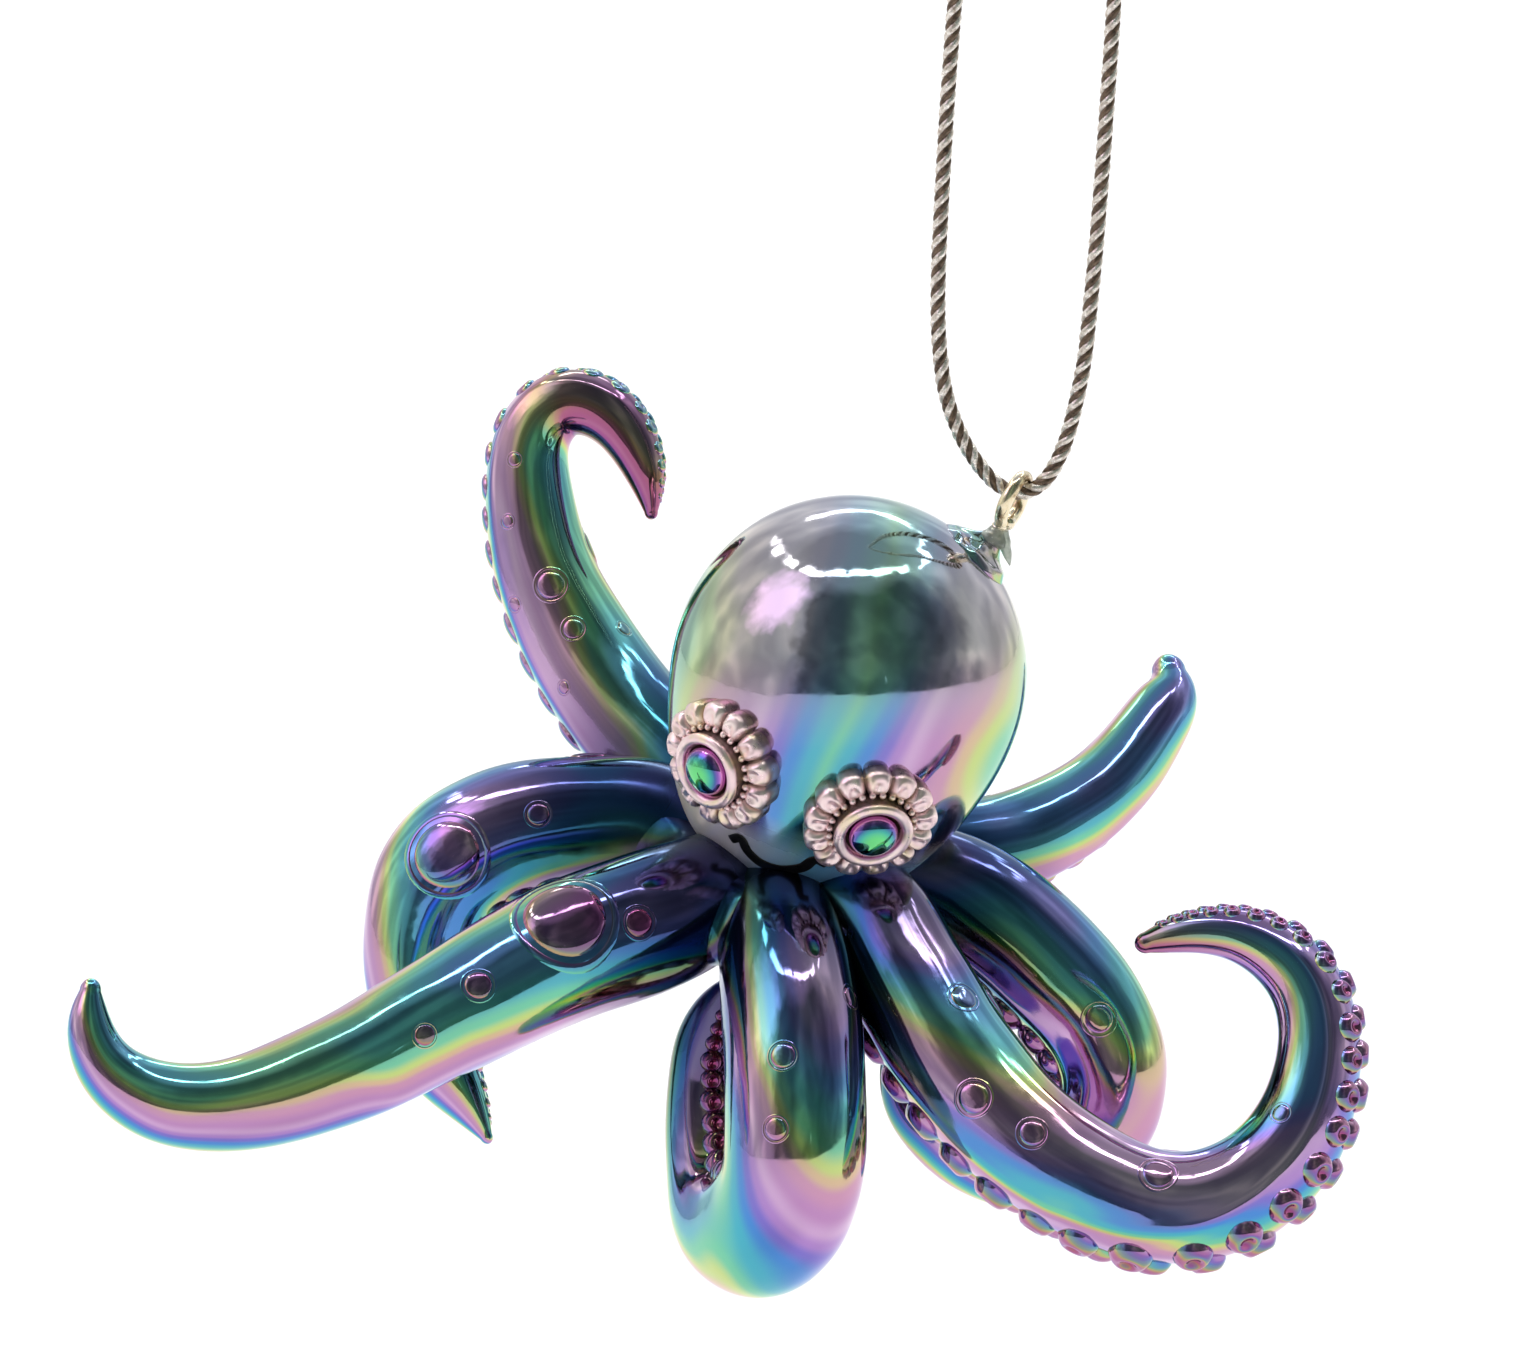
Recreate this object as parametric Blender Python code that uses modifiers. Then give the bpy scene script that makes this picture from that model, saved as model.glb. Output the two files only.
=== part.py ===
"""Octopus hanging ornament: a plated resin octopus on a screw eye, hung from a loop of metallic cord.

Row frame: +Z up, +X to the right and +Y away, as seen by someone facing the octopus.
The origin is the hang point, on the inside top of the cord loop.
"""

import math

import bmesh
import bpy
from mathutils import Matrix, Vector

for leftover in list(bpy.data.objects):
    bpy.data.objects.remove(leftover)

MM = 0.001

# Overall
LOOP_DROP = 44.0  # hang point down to the cord's lowest point, inside the screw eye
BOARD_TILT_DEG = 10.0  # the octopus is laid out on a board leaning back this far from upright
PIECE_GAP = 0.3  # clearance between neighbouring pieces
STEPS_PER_SPAN = 4  # samples between two hand-chosen arm points
ARM_SIDES_RESOLUTION = 4
CUTTER_SIDES_RESOLUTION = 5

# Body axes on the board: across, up the board, out of the board
SETBACK = 1.94  # the octopus sits this far into the board, so it balances under its screw eye
BODY_UP = Vector((0.310, 0.881, 0.355)).normalized()
BODY_FRONT = Vector((-0.246, -0.287, 0.925)).normalized()

# Head and web
HEAD_CENTRE = Vector((-11.65, -12.5, 0.0))
HEAD_PROFILE = [
    (12.56, 0.0), (12.2, 3.0), (11.1, 5.9), (9.2, 8.55), (6.7, 10.62), (3.6, 12.03), (0.0, 12.56),
    (-3.2, 12.25), (-6.5, 11.4), (-9.6, 10.2), (-12.2, 8.8), (-14.4, 7.0), (-15.8, 4.4),
    (-16.2, 0.0),
]
HEAD_SEGMENTS = 28
HUB_DROP = 17.0  # web centre below the head centre, along the body axis
HUB_RADIUS = 9.4
HUB_HALF_HEIGHT = 5.4
HUB_SEGMENTS = 28
HUB_RINGS = 14

# Eyes: where they sit on the face, then the setting's sizes
EYE_AZIMUTH_DEG = 28.3  # either side of the face's middle
FACE_TURN_DEG = 3.2  # the face's middle, to the right of the body's front
EYE_DROP = 5.75  # below the head centre, along the body axis
EYE_DIP_DEG = 16.0  # the setting faces this far below square to the body axis
EYE_SINK = 0.4
EYE_STAND_OFF = 0.35
PETALS = 13
PETAL_STEPS = 5  # points round each petal
PETAL_NOTCH_RADIUS = 4.05
PETAL_TIP_RADIUS = 4.75
PETAL_CREST_RADIUS = 3.85
PETAL_NOTCH_HEIGHT = 0.75
PETAL_CREST_HEIGHT = 1.45
PETAL_ROUNDNESS = 0.6  # power of the sine that rounds each petal
PETAL_SHOULDER = 0.82  # height between crest and tip, over the crest's
PETAL_EDGE = 0.35  # height at the tip, over the crest's
PETAL_DRAFT = 0.985  # foot radius over tip radius
BEZEL_BORE_RADIUS = 3.05
BEZEL_FOOT = -1.0
CUP_OUTER_RADIUS = 2.80
CUP_INNER_RADIUS = 1.95
CUP_HEIGHT = 2.20
CUP_FLOOR = 1.30
CUP_ROUND = 0.25
GEM_RADIUS = 1.72
GEM_RISE = 0.90
GEM_GIRDLE = 0.50
GEM_GAP = 0.15
GEM_DOME = [(1.0, 0.0), (0.93, 0.36), (0.72, 0.68), (0.40, 0.90), (0.0, 1.0)]  # of rise, of radius
EYE_SEGMENTS = 24

# Screw eye
WIRE_RADIUS = 0.50
RING_RADIUS = 1.75
RING_SEGMENTS = 24
RING_WIRE_SIDES = 10
EYE_LEAN_DEG = 27.0
EYE_TURN_DEG = 14.0  # the ring is turned this far about its shank
SHANK_LENGTH = 1.00
SHANK_SIDES = 12
BOSS_PROFILE = [  # height, radius, from the top of the mound down into the head
    (0.0, 0.0), (0.0, 0.70), (-0.25, 1.00), (-0.75, 1.55), (-1.50, 2.20), (-2.40, 2.40), (-2.40, 0.0),
]
BOSS_SEGMENTS = 20
CORD_SEAT = 0.42  # cord centre above the ring centre, towards the ring's top

# Cord
CORD_RADIUS = 0.55
CORD_SIDES_RESOLUTION = 2
KNOT_RADIUS = 1.45
KNOT_WAIST_RADIUS = 1.28
KNOT_SHOULDER_RADIUS = 1.23
KNOT_SHOULDER = 0.5  # along the knot, from its end
KNOT_WAIST = 0.4  # half the waist's length
KNOT_SEGMENTS = 16
TAIL_LENGTH = 3.2
TAIL_RISE_DEG = 30.0
TAIL_SPREAD_DEG = 22.0
TAIL_SIDES = 10
WELD_DISTANCE = 0.00001


def board(across, up, out):
    """A point on the leaning board, in the row frame. The board's origin is the cord's lowest point."""
    lean = math.radians(BOARD_TILT_DEG)
    y = up * math.sin(lean) - out * math.cos(lean)
    z = up * math.cos(lean) + out * math.sin(lean) - LOOP_DROP
    return Vector((across, y, z)) * MM


def octopus_point(across, up, out):
    """A point of the octopus: laid out on the board, then set back for balance."""
    return board(across, up, out - SETBACK)


def board_direction(vector):
    """A direction on the leaning board, in the row frame."""
    return (board(*vector) - board(0, 0, 0)).normalized()


# Each arm: across, up, out, radius. The first point is inside the web.
ARMS = {
    "arm_front_left": [
        (-20.6, -27.4, -2.2, 3.93), (-22.6, -28.7, 0.6, 4.63), (-26.9, -30.3, 3.4, 4.98),
        (-32.0, -32.1, 6.0, 4.84), (-39.9, -36.4, 9.0, 4.35), (-47.3, -40.3, 11.2, 3.86),
        (-54.3, -42.6, 12.6, 3.3), (-59.6, -42.5, 13.2, 2.88), (-63.3, -40.4, 13.6, 2.25),
        (-64.7, -37.5, 13.8, 1.68), (-64.7, -35.4, 13.9, 1.26), (-64.6, -34.7, 13.9, 0.77),
    ],
    "arm_left": [
        (-21.8, -24.8, -6.6, 3.79), (-25.4, -22.7, -7.6, 4.07), (-30.0, -22.7, -8.6, 4.35),
        (-35.5, -23.7, -9.4, 4.77), (-40.0, -26.4, -9.8, 4.84), (-41.8, -31.2, -10, 4.28),
        (-42.0, -35.8, -9.8, 3.65), (-40.8, -39.6, -9.2, 2.81), (-39.0, -42.4, -8.6, 1.89),
        (-37.8, -44.4, -8.2, 0.91), (-37.3, -45.3, -8.0, 0.46),
    ],
    "arm_back_left": [
        (-19.2, -24.3, -9.6, 3.79), (-22.7, -20.5, -12.6, 4.35), (-26.8, -16.3, -15.6, 4.35),
        (-30.7, -10.8, -17.8, 4.07), (-33.4, -5.1, -19, 3.65), (-34.5, 0.4, -19.4, 3.16),
        (-34.2, 4.5, -19.2, 2.74), (-31.8, 6.9, -18.6, 2.46), (-28.8, 6.1, -17.8, 2.25),
        (-26.9, 3.8, -17.2, 1.96), (-25.9, 1.0, -16.8, 1.33), (-25.7, -1.1, -16.6, 0.49),
    ],
    "arm_front": [
        (-17.0, -28.5, -1.6, 3.93), (-16.4, -31.4, 3.6, 4.49), (-15.7, -36.5, 8.0, 4.84),
        (-15.4, -42.7, 10.2, 4.91), (-15.8, -48.4, 9.6, 4.91), (-17.8, -51.6, 5.2, 4.84),
        (-20.1, -50.7, 0.8, 4.21), (-21.4, -46.6, -1.6, 3.23), (-21.9, -42.1, -1.6, 2.67),
        (-21.8, -38.2, -0.4, 2.11), (-20.7, -35.5, 1.4, 1.4), (-20.2, -34.5, 2.4, 0.7),
    ],
    "arm_front_right": [
        (-13.5, -27.9, -2.2, 3.79), (-10.1, -29.5, 1.4, 4.0), (-7.4, -34.5, 4.2, 4.35),
        (-4.5, -39.4, 6.6, 4.49), (-0.6, -44.2, 8.6, 4.42), (3.9, -47.6, 10, 4.28),
        (8.8, -49.8, 10.8, 4.14), (13.2, -49.8, 10.8, 4.0), (17.3, -47.7, 10.4, 3.79),
        (20.1, -43.8, 9.8, 3.44), (21.2, -39.0, 9.2, 3.02), (20.5, -34.8, 8.6, 2.74),
        (18.2, -32.1, 8.1, 2.32), (15.2, -30.7, 7.8, 1.89), (11.9, -30.7, 7.5, 1.4),
        (9.7, -31.2, 7.3, 1.12), (9.1, -31.4, 7.3, 0.77),
    ],
    "arm_right": [
        (-12.5, -26.7, -5.8, 3.79), (-6.6, -27.1, -6.6, 4.0), (-1.8, -29.6, -7.0, 4.49),
        (2.3, -33.2, -7.0, 4.49), (5.7, -37.3, -7.0, 4.21), (6.9, -41.3, -7.2, 4.0),
        (5.5, -45.2, -7.6, 3.72), (1.7, -47.3, -7.9, 3.3), (-2.8, -46.5, -8.0, 2.95),
        (-6.4, -43.4, -7.8, 2.6), (-7.5, -39.8, -7.2, 2.11), (-6.3, -36.6, -6.8, 1.26),
        (-5.8, -35.5, -6.6, 0.7),
    ],
    "arm_back_right": [
        (-12.8, -25.5, -9.2, 3.72), (-6.3, -25.6, -12.4, 4.0), (-0.4, -24.6, -15.8, 3.58),
        (4.8, -22.0, -19, 3.16), (8.4, -18.6, -21.6, 2.74), (10.7, -15.2, -23.6, 2.39),
        (11.6, -13.6, -24.6, 1.96), (11.2, -12.6, -25.0, 1.26),
    ],
    "arm_back": [
        (-15.6, -25.6, -10.6, 3.8), (-13.6, -23.6, -17.6, 4.0), (-12.6, -23.4, -24.4, 4.0),
        (-13.0, -26.4, -30.4, 3.8), (-14.2, -32.0, -33.0, 3.5), (-15.8, -38.0, -31.2, 3.1),
        (-17.0, -41.8, -26.4, 2.6), (-17.4, -41.6, -21.4, 1.9), (-17.0, -38.8, -18.4, 1.2),
        (-16.8, -37.6, -17.8, 0.7),
    ],
}
# Arms that meet at the web: the one named first is trimmed to clear the others
ARMS_CUT_BY = {
    "arm_front_left": ["arm_front"], "arm_left": ["arm_back_left", "arm_front_left"],
    "arm_back_left": [], "arm_front": [], "arm_front_right": ["arm_front"],
    "arm_right": ["arm_back_right", "arm_front_right"], "arm_back_right": ["arm_back"],
    "arm_back": [],
}
ROOT_POINTS = 5  # points of the neighbour's route that its cutter follows
ARM_COLOURS = {
    "arm_front_left": (0.62, 0.50, 0.66), "arm_left": (0.36, 0.34, 0.62),
    "arm_back_left": (0.66, 0.46, 0.72), "arm_front": (0.30, 0.42, 0.56),
    "arm_front_right": (0.56, 0.52, 0.62), "arm_right": (0.40, 0.46, 0.66),
    "arm_back_right": (0.46, 0.60, 0.66), "arm_back": (0.44, 0.42, 0.60),
}

# Cord loop, across and height above the screw eye, from the eye up each side
CORD_EYE_BEND = [
    (-5.45, 15.85), (-5.5, 12.6), (-5.33, 9.7), (-4.88, 6.8), (-3.8, 3.95), (-2.5, 1.9),
    (-1.2, 0.55), (0.1, 0.0), (1.5, 0.4), (2.5, 1.55), (3.1, 2.8), (3.6, 4.1), (4.25, 6.8),
    (4.8, 9.7), (5.1, 12.6), (5.4, 15.85),
]
CORD_LEFT_AND_ARCH = [
    (-5.45, 16.15), (-5.37, 18.5), (-4.9, 27.2), (-4.25, 36.0), (-3.7, 39.4), (-2.2, 42.8),
    (0.0, 44.55), (2.4, 44.2), (4.3, 42.8),
]
CORD_RIGHT = [(5.43, 16.15), (5.65, 18.5), (6.28, 27.2), (6.84, 36.0), (6.84, 37.6)]
CORD_STEPS = 3
KNOT_END_LOW = (6.75, 38.4)
KNOT_END_HIGH = (5.1, 41.9)

part_collection = bpy.data.collections.new("octopus_ornament")
cutter_collection = bpy.data.collections.new("cutters")
bpy.context.scene.collection.children.link(part_collection)
bpy.context.scene.collection.children.link(cutter_collection)


def material(name, colour, roughness, metallic):
    made = bpy.data.materials.new(name)
    made.use_nodes = True
    shader = made.node_tree.nodes["Principled BSDF"]
    shader.inputs["Base Color"].default_value = (*colour, 1.0)
    shader.inputs["Roughness"].default_value = roughness
    shader.inputs["Metallic"].default_value = metallic
    return made


def into(collection, item):
    for owner in list(item.users_collection):
        owner.objects.unlink(item)
    collection.objects.link(item)


def piece(item, name, colour, roughness=0.15, metallic=1.0):
    """Name an object as a node, put it with the part and give it its own material."""
    item.name = name
    item.data.name = name
    item.data.materials.clear()
    item.data.materials.append(material(name, colour, roughness, metallic))
    into(part_collection, item)
    return item


def cutter(item, name):
    item.name = name
    item.hide_render = True
    item.display_type = "WIRE"
    into(cutter_collection, item)
    return item


def cut(item, tool, operation="DIFFERENCE"):
    step = item.modifiers.new(f"{operation.lower()} {tool.name}", "BOOLEAN")
    step.operation = operation
    step.solver = "EXACT"
    step.object = tool
    return step


def smooth_route(points, steps):
    """Catmull-Rom samples through the points; each point is a tuple of any length."""
    ends = [points[0], *points, points[-1]]
    route = []
    for i in range(1, len(ends) - 2):
        before, start, end, after = ends[i - 1], ends[i], ends[i + 1], ends[i + 2]
        for step in range(steps):
            t = step / steps
            route.append(tuple(
                0.5 * (2 * s + (e - b) * t + (2 * b - 5 * s + 4 * e - a) * t**2
                       + (3 * s - b - 3 * e + a) * t**3)
                for b, s, e, a in zip(before, start, end, after)
            ))
    route.append(tuple(points[-1]))
    return route


def tube(name, points, radii, resolution):
    """A closed tube along points in the row frame, in metres."""
    data = bpy.data.curves.new(name, "CURVE")
    data.dimensions = "3D"
    data.bevel_depth = MM
    data.bevel_resolution = resolution
    data.use_fill_caps = True
    spline = data.splines.new("POLY")
    spline.points.add(len(points) - 1)
    for point, place, radius in zip(spline.points, points, radii):
        point.co = (*place, 1.0)
        point.radius = radius
    item = bpy.data.objects.new(name, data)
    part_collection.objects.link(item)
    return item


def baked(item):
    """The object's evaluated shape as a plain mesh object, which replaces it."""
    bpy.context.view_layer.update()
    depsgraph = bpy.context.evaluated_depsgraph_get()
    data = bpy.data.meshes.new_from_object(item.evaluated_get(depsgraph))
    made = bpy.data.objects.new(item.name + "_mesh", data)
    made.matrix_world = item.matrix_world.copy()
    part_collection.objects.link(made)
    bpy.data.objects.remove(item)
    return made


def meshed(curve):
    """The curve's tube as a mesh object, for pieces that are cut."""
    made = baked(curve)
    weld = made.modifiers.new("weld caps", "WELD")
    weld.merge_threshold = WELD_DISTANCE
    return made


def frame_along(direction, hint):
    """Axes whose Z is the direction and whose X leans towards the hint."""
    z_axis = direction.normalized()
    y_axis = z_axis.cross(hint).normalized()
    x_axis = y_axis.cross(z_axis)
    return Matrix((x_axis, y_axis, z_axis)).transposed().to_4x4()


def lathe(name, profile, segments):
    """A solid of revolution about Z; the profile runs from top to bottom as height and radius, in mm."""
    data = bpy.data.meshes.new(name)
    points = [(radius * MM, 0.0, height * MM) for height, radius in profile]
    data.from_pydata(points, [(i, i + 1) for i in range(len(points) - 1)], [])
    item = bpy.data.objects.new(name, data)
    part_collection.objects.link(item)
    turn = item.modifiers.new("turn", "SCREW")
    turn.axis = "Z"
    turn.steps = segments
    turn.render_steps = segments
    turn.use_merge_vertices = True
    turn.merge_threshold = WELD_DISTANCE
    item = baked(item)
    shell = bmesh.new()
    shell.from_mesh(item.data)
    bmesh.ops.recalc_face_normals(shell, faces=shell.faces)
    shell.to_mesh(item.data)
    shell.free()
    return item


def placed(item, centre, axes):
    item.matrix_world = Matrix.Translation(centre) @ axes
    return item


body_up = board_direction(BODY_UP)
body_front = board_direction(BODY_FRONT)
body_right = body_up.cross(body_front).normalized()
body_axes = frame_along(body_up, body_front)
head_centre = octopus_point(*HEAD_CENTRE)
hub_centre = head_centre - body_up * HUB_DROP * MM


def make_hub_shape(name, grow):
    bpy.ops.mesh.primitive_uv_sphere_add(segments=HUB_SEGMENTS, ring_count=HUB_RINGS, radius=1.0)
    item = bpy.context.object
    item.name = name
    wide = (HUB_RADIUS + grow) * MM
    tall = (HUB_HALF_HEIGHT + grow) * MM
    item.matrix_world = (
        Matrix.Translation(hub_centre) @ body_axes @ Matrix.Diagonal((wide, wide, tall, 1.0))
    )
    return item


def make_head_shape(name, grow):
    top = HEAD_PROFILE[0][0]
    bottom = HEAD_PROFILE[-1][0]
    stretch = (top - bottom + 2 * grow) / (top - bottom)
    profile = []
    for height, radius in HEAD_PROFILE:
        wide = radius + grow if radius > 0 else 0.0
        profile.append(((height - bottom) * stretch + bottom - grow, wide))
    return placed(lathe(name, profile, HEAD_SEGMENTS), head_centre, body_axes)


head = piece(make_head_shape("head", 0.0), "head", (0.45, 0.62, 0.60), 0.08)
head_cutter = cutter(make_head_shape("head_cutter", PIECE_GAP), "head_cutter")
hub_cutter = cutter(make_hub_shape("hub_cutter", PIECE_GAP), "hub_cutter")
hub = piece(make_hub_shape("web_collar", 0.0), "web_collar", (0.26, 0.30, 0.52), 0.10)
cut(hub, head_cutter)


def make_arm_shape(name, points, grow, resolution):
    samples = smooth_route(points, STEPS_PER_SPAN)
    places = [octopus_point(across, up, out) for across, up, out, _ in samples]
    radii = [radius + grow for _, _, _, radius in samples]
    return meshed(tube(name, places, radii, resolution))


def make_arm(name, points):
    arm = make_arm_shape(name, points, 0.0, ARM_SIDES_RESOLUTION)
    for neighbour in ARMS_CUT_BY[name]:
        route = ARMS[neighbour][:ROOT_POINTS]
        tool = make_arm_shape(f"{neighbour}_cutter", route, PIECE_GAP, CUTTER_SIDES_RESOLUTION)
        cut(arm, cutter(tool, f"{neighbour}_beside_{name}"))
    cut(arm, hub_cutter)
    cut(arm, head_cutter)
    return piece(arm, name, ARM_COLOURS[name], 0.10)


for arm_name, arm_points in ARMS.items():
    make_arm(arm_name, arm_points)


def head_radius_at(height):
    """The head's radius at a height above its centre, along the body axis."""
    for (high, r_high), (low, r_low) in zip(HEAD_PROFILE, HEAD_PROFILE[1:]):
        if low <= height <= high:
            return r_low + (r_high - r_low) * (height - low) / (high - low)
    return 0.0


def make_disc(name, radius, height, base, segments):
    bpy.ops.mesh.primitive_cylinder_add(vertices=segments, radius=radius * MM, depth=height * MM)
    item = bpy.context.object
    item.name = name
    item.data.transform(Matrix.Translation((0, 0, (base + height / 2) * MM)))
    return item


def make_flower(name):
    """A ring of rounded petals about Z, with a plain bore."""
    vertices = []
    faces = []
    turns = PETALS * PETAL_STEPS
    for step in range(turns):
        angle = 2 * math.pi * step / turns
        bulge = abs(math.sin(angle * PETALS / 2)) ** PETAL_ROUNDNESS
        tip = PETAL_NOTCH_RADIUS + (PETAL_TIP_RADIUS - PETAL_NOTCH_RADIUS) * bulge
        crest = PETAL_NOTCH_HEIGHT + (PETAL_CREST_HEIGHT - PETAL_NOTCH_HEIGHT) * bulge
        section = [
            (BEZEL_BORE_RADIUS, BEZEL_FOOT), (BEZEL_BORE_RADIUS, PETAL_NOTCH_HEIGHT),
            (PETAL_CREST_RADIUS, crest), ((PETAL_CREST_RADIUS + tip) / 2, crest * PETAL_SHOULDER),
            (tip, crest * PETAL_EDGE), (tip * PETAL_DRAFT, BEZEL_FOOT),
        ]
        for radius, height in section:
            spot = (radius * math.cos(angle), radius * math.sin(angle), height)
            vertices.append(Vector(spot) * MM)
    section_points = len(section)
    for step in range(turns):
        here = step * section_points
        there = (step + 1) % turns * section_points
        for k in range(section_points):
            after = (k + 1) % section_points
            faces.append((here + k, here + after, there + after, there + k))
    data = bpy.data.meshes.new(name)
    data.from_pydata(vertices, [], faces)
    item = bpy.data.objects.new(name, data)
    part_collection.objects.link(item)
    return item


def make_eye(side, azimuth_deg):
    """Flower bezel, raised cup and domed stone, stacked along one axis."""
    azimuth = math.radians(azimuth_deg)
    dip = math.radians(EYE_DIP_DEG)
    radial = body_front * math.cos(azimuth) + body_right * math.sin(azimuth)
    toward = radial * math.cos(dip) - body_up * math.sin(dip)
    reach = head_radius_at(-EYE_DROP) - EYE_SINK
    seat = head_centre + (radial * reach - body_up * EYE_DROP) * MM
    axes = frame_along(toward, body_up)

    bezel = make_flower(f"eye_bezel_{side}")
    placed(bezel, seat, axes)
    cut(bezel, head_cutter)
    piece(bezel, f"eye_bezel_{side}", (0.70, 0.58, 0.52), 0.30)

    cup_floor = EYE_STAND_OFF + CUP_FLOOR
    cup_rim = EYE_STAND_OFF + CUP_HEIGHT
    cup = lathe(f"eye_cup_{side}", [
        (cup_floor, 0.0), (cup_floor, CUP_INNER_RADIUS), (cup_rim - CUP_ROUND, CUP_INNER_RADIUS),
        (cup_rim, CUP_INNER_RADIUS + CUP_ROUND), (cup_rim - CUP_ROUND, CUP_OUTER_RADIUS),
        (BEZEL_FOOT, CUP_OUTER_RADIUS), (BEZEL_FOOT, 0.0),
    ], EYE_SEGMENTS)
    placed(cup, seat, axes)
    cut(cup, head_cutter)
    piece(cup, f"eye_cup_{side}", (0.74, 0.66, 0.62), 0.22)

    base = cup_floor + GEM_GAP
    girdle = base + GEM_GIRDLE
    dome = [(girdle + GEM_RISE * high, GEM_RADIUS * wide) for high, wide in GEM_DOME]
    gem = lathe(f"eye_gem_{side}", [*dome, (base, GEM_RADIUS), (base, 0.0)], EYE_SEGMENTS)
    piece(placed(gem, seat, axes), f"eye_gem_{side}", (0.03, 0.16, 0.14), 0.05, 0.2)


make_eye("left", FACE_TURN_DEG - EYE_AZIMUTH_DEG)
make_eye("right", FACE_TURN_DEG + EYE_AZIMUTH_DEG)

# Screw eye: the ring stands on its shank, turned a little out of edge-on
lean = math.radians(EYE_LEAN_DEG)
turn = math.radians(EYE_TURN_DEG)
shank_up = board_direction((math.sin(lean), math.cos(lean), 0.0))
ring_axis = board_direction((
    math.cos(lean) * math.cos(turn), -math.sin(lean) * math.cos(turn), math.sin(turn),
))
ring_centre = board(0, 0, 0) - shank_up * CORD_SEAT * MM
ring_axes = frame_along(ring_axis, shank_up)

bpy.ops.mesh.primitive_torus_add(
    major_radius=RING_RADIUS * MM, minor_radius=WIRE_RADIUS * MM,
    major_segments=RING_SEGMENTS, minor_segments=RING_WIRE_SIDES,
)
ring = placed(bpy.context.object, ring_centre, ring_axes)
shank = make_disc("shank", WIRE_RADIUS, SHANK_LENGTH, -SHANK_LENGTH, SHANK_SIDES)
shank_top = ring_centre - shank_up * RING_RADIUS * MM
cutter(placed(shank, shank_top, frame_along(shank_up, ring_axis)), "shank")
cut(ring, shank, "UNION")
piece(ring, "screw_eye", (0.80, 0.72, 0.52), 0.18)

shank_foot = shank_top - shank_up * SHANK_LENGTH * MM
boss_axis = (shank_foot - head_centre).normalized()
boss = lathe("hook_boss", BOSS_PROFILE, BOSS_SEGMENTS)
placed(boss, shank_foot - boss_axis * PIECE_GAP * MM, frame_along(boss_axis, shank_up))
cut(boss, head_cutter)
piece(boss, "hook_boss", (0.58, 0.64, 0.66), 0.12)


# Cord loop
def cord_point(across, height):
    return Vector((across, 0.0, height - LOOP_DROP)) * MM


def cord_tube(name, points, colour):
    item = tube(name, points, [CORD_RADIUS] * len(points), CORD_SIDES_RESOLUTION)
    return piece(item, name, colour, 0.35)


def cord_run(name, route, colour):
    cord_tube(name, [cord_point(*p) for p in smooth_route(route, CORD_STEPS)], colour)


cord_run("cord_lower", CORD_EYE_BEND, (0.62, 0.56, 0.46))
cord_run("cord_upper_left", CORD_LEFT_AND_ARCH, (0.62, 0.56, 0.46))
cord_run("cord_upper_right", CORD_RIGHT, (0.60, 0.54, 0.44))

knot_low = cord_point(*KNOT_END_LOW)
knot_high = cord_point(*KNOT_END_HIGH)
knot_mid = (knot_low + knot_high) / 2
knot_axes = frame_along(knot_high - knot_low, Vector((0, 1, 0)))
half = (knot_high - knot_low).length / 2 / MM
knot = lathe("cord_knot", [
    (half, 0.0), (half, CORD_RADIUS), (half - KNOT_SHOULDER, KNOT_SHOULDER_RADIUS),
    (KNOT_WAIST, KNOT_RADIUS), (0.0, KNOT_WAIST_RADIUS), (-KNOT_WAIST, KNOT_RADIUS),
    (KNOT_SHOULDER - half, KNOT_SHOULDER_RADIUS), (-half, CORD_RADIUS), (-half, 0.0),
], KNOT_SEGMENTS)
placed(knot, knot_mid, knot_axes)
tail_rise = math.radians(TAIL_RISE_DEG)
outward = Vector((math.cos(tail_rise), 0, math.sin(tail_rise)))
for number, spread_deg in enumerate((-TAIL_SPREAD_DEG, TAIL_SPREAD_DEG)):
    tail = make_disc(f"tail_{number}", CORD_RADIUS, TAIL_LENGTH, 0.0, TAIL_SIDES)
    aim = Matrix.Rotation(math.radians(spread_deg), 4, Vector((0, 1, 0))) @ outward
    cutter(placed(tail, knot_mid, frame_along(aim, Vector((0, 1, 0)))), f"tail_{number}")
    cut(knot, tail, "UNION")
piece(knot, "cord_knot", (0.58, 0.52, 0.42), 0.40)
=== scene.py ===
import math

import bpy
import numpy as np
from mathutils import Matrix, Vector
from mathutils.bvhtree import BVHTree


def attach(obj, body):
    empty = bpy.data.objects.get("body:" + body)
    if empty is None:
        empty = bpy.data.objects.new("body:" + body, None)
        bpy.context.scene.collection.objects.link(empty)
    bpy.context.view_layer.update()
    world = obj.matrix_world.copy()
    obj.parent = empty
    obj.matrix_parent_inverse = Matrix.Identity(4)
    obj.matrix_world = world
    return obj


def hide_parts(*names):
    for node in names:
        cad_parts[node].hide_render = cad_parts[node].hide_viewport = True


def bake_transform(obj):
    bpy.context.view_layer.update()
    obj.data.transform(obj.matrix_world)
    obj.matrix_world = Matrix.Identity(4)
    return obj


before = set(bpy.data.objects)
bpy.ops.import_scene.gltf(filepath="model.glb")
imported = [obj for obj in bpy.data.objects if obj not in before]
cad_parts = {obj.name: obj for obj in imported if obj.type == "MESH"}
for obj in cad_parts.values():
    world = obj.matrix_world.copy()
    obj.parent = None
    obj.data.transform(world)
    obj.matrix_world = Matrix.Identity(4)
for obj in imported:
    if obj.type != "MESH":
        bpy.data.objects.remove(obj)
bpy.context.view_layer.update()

# ---- dimensions, in mm
MM = 0.001
LOOP_DROP = 44.0
BOARD_TILT = math.radians(10.0)
SETBACK = 1.94
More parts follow.
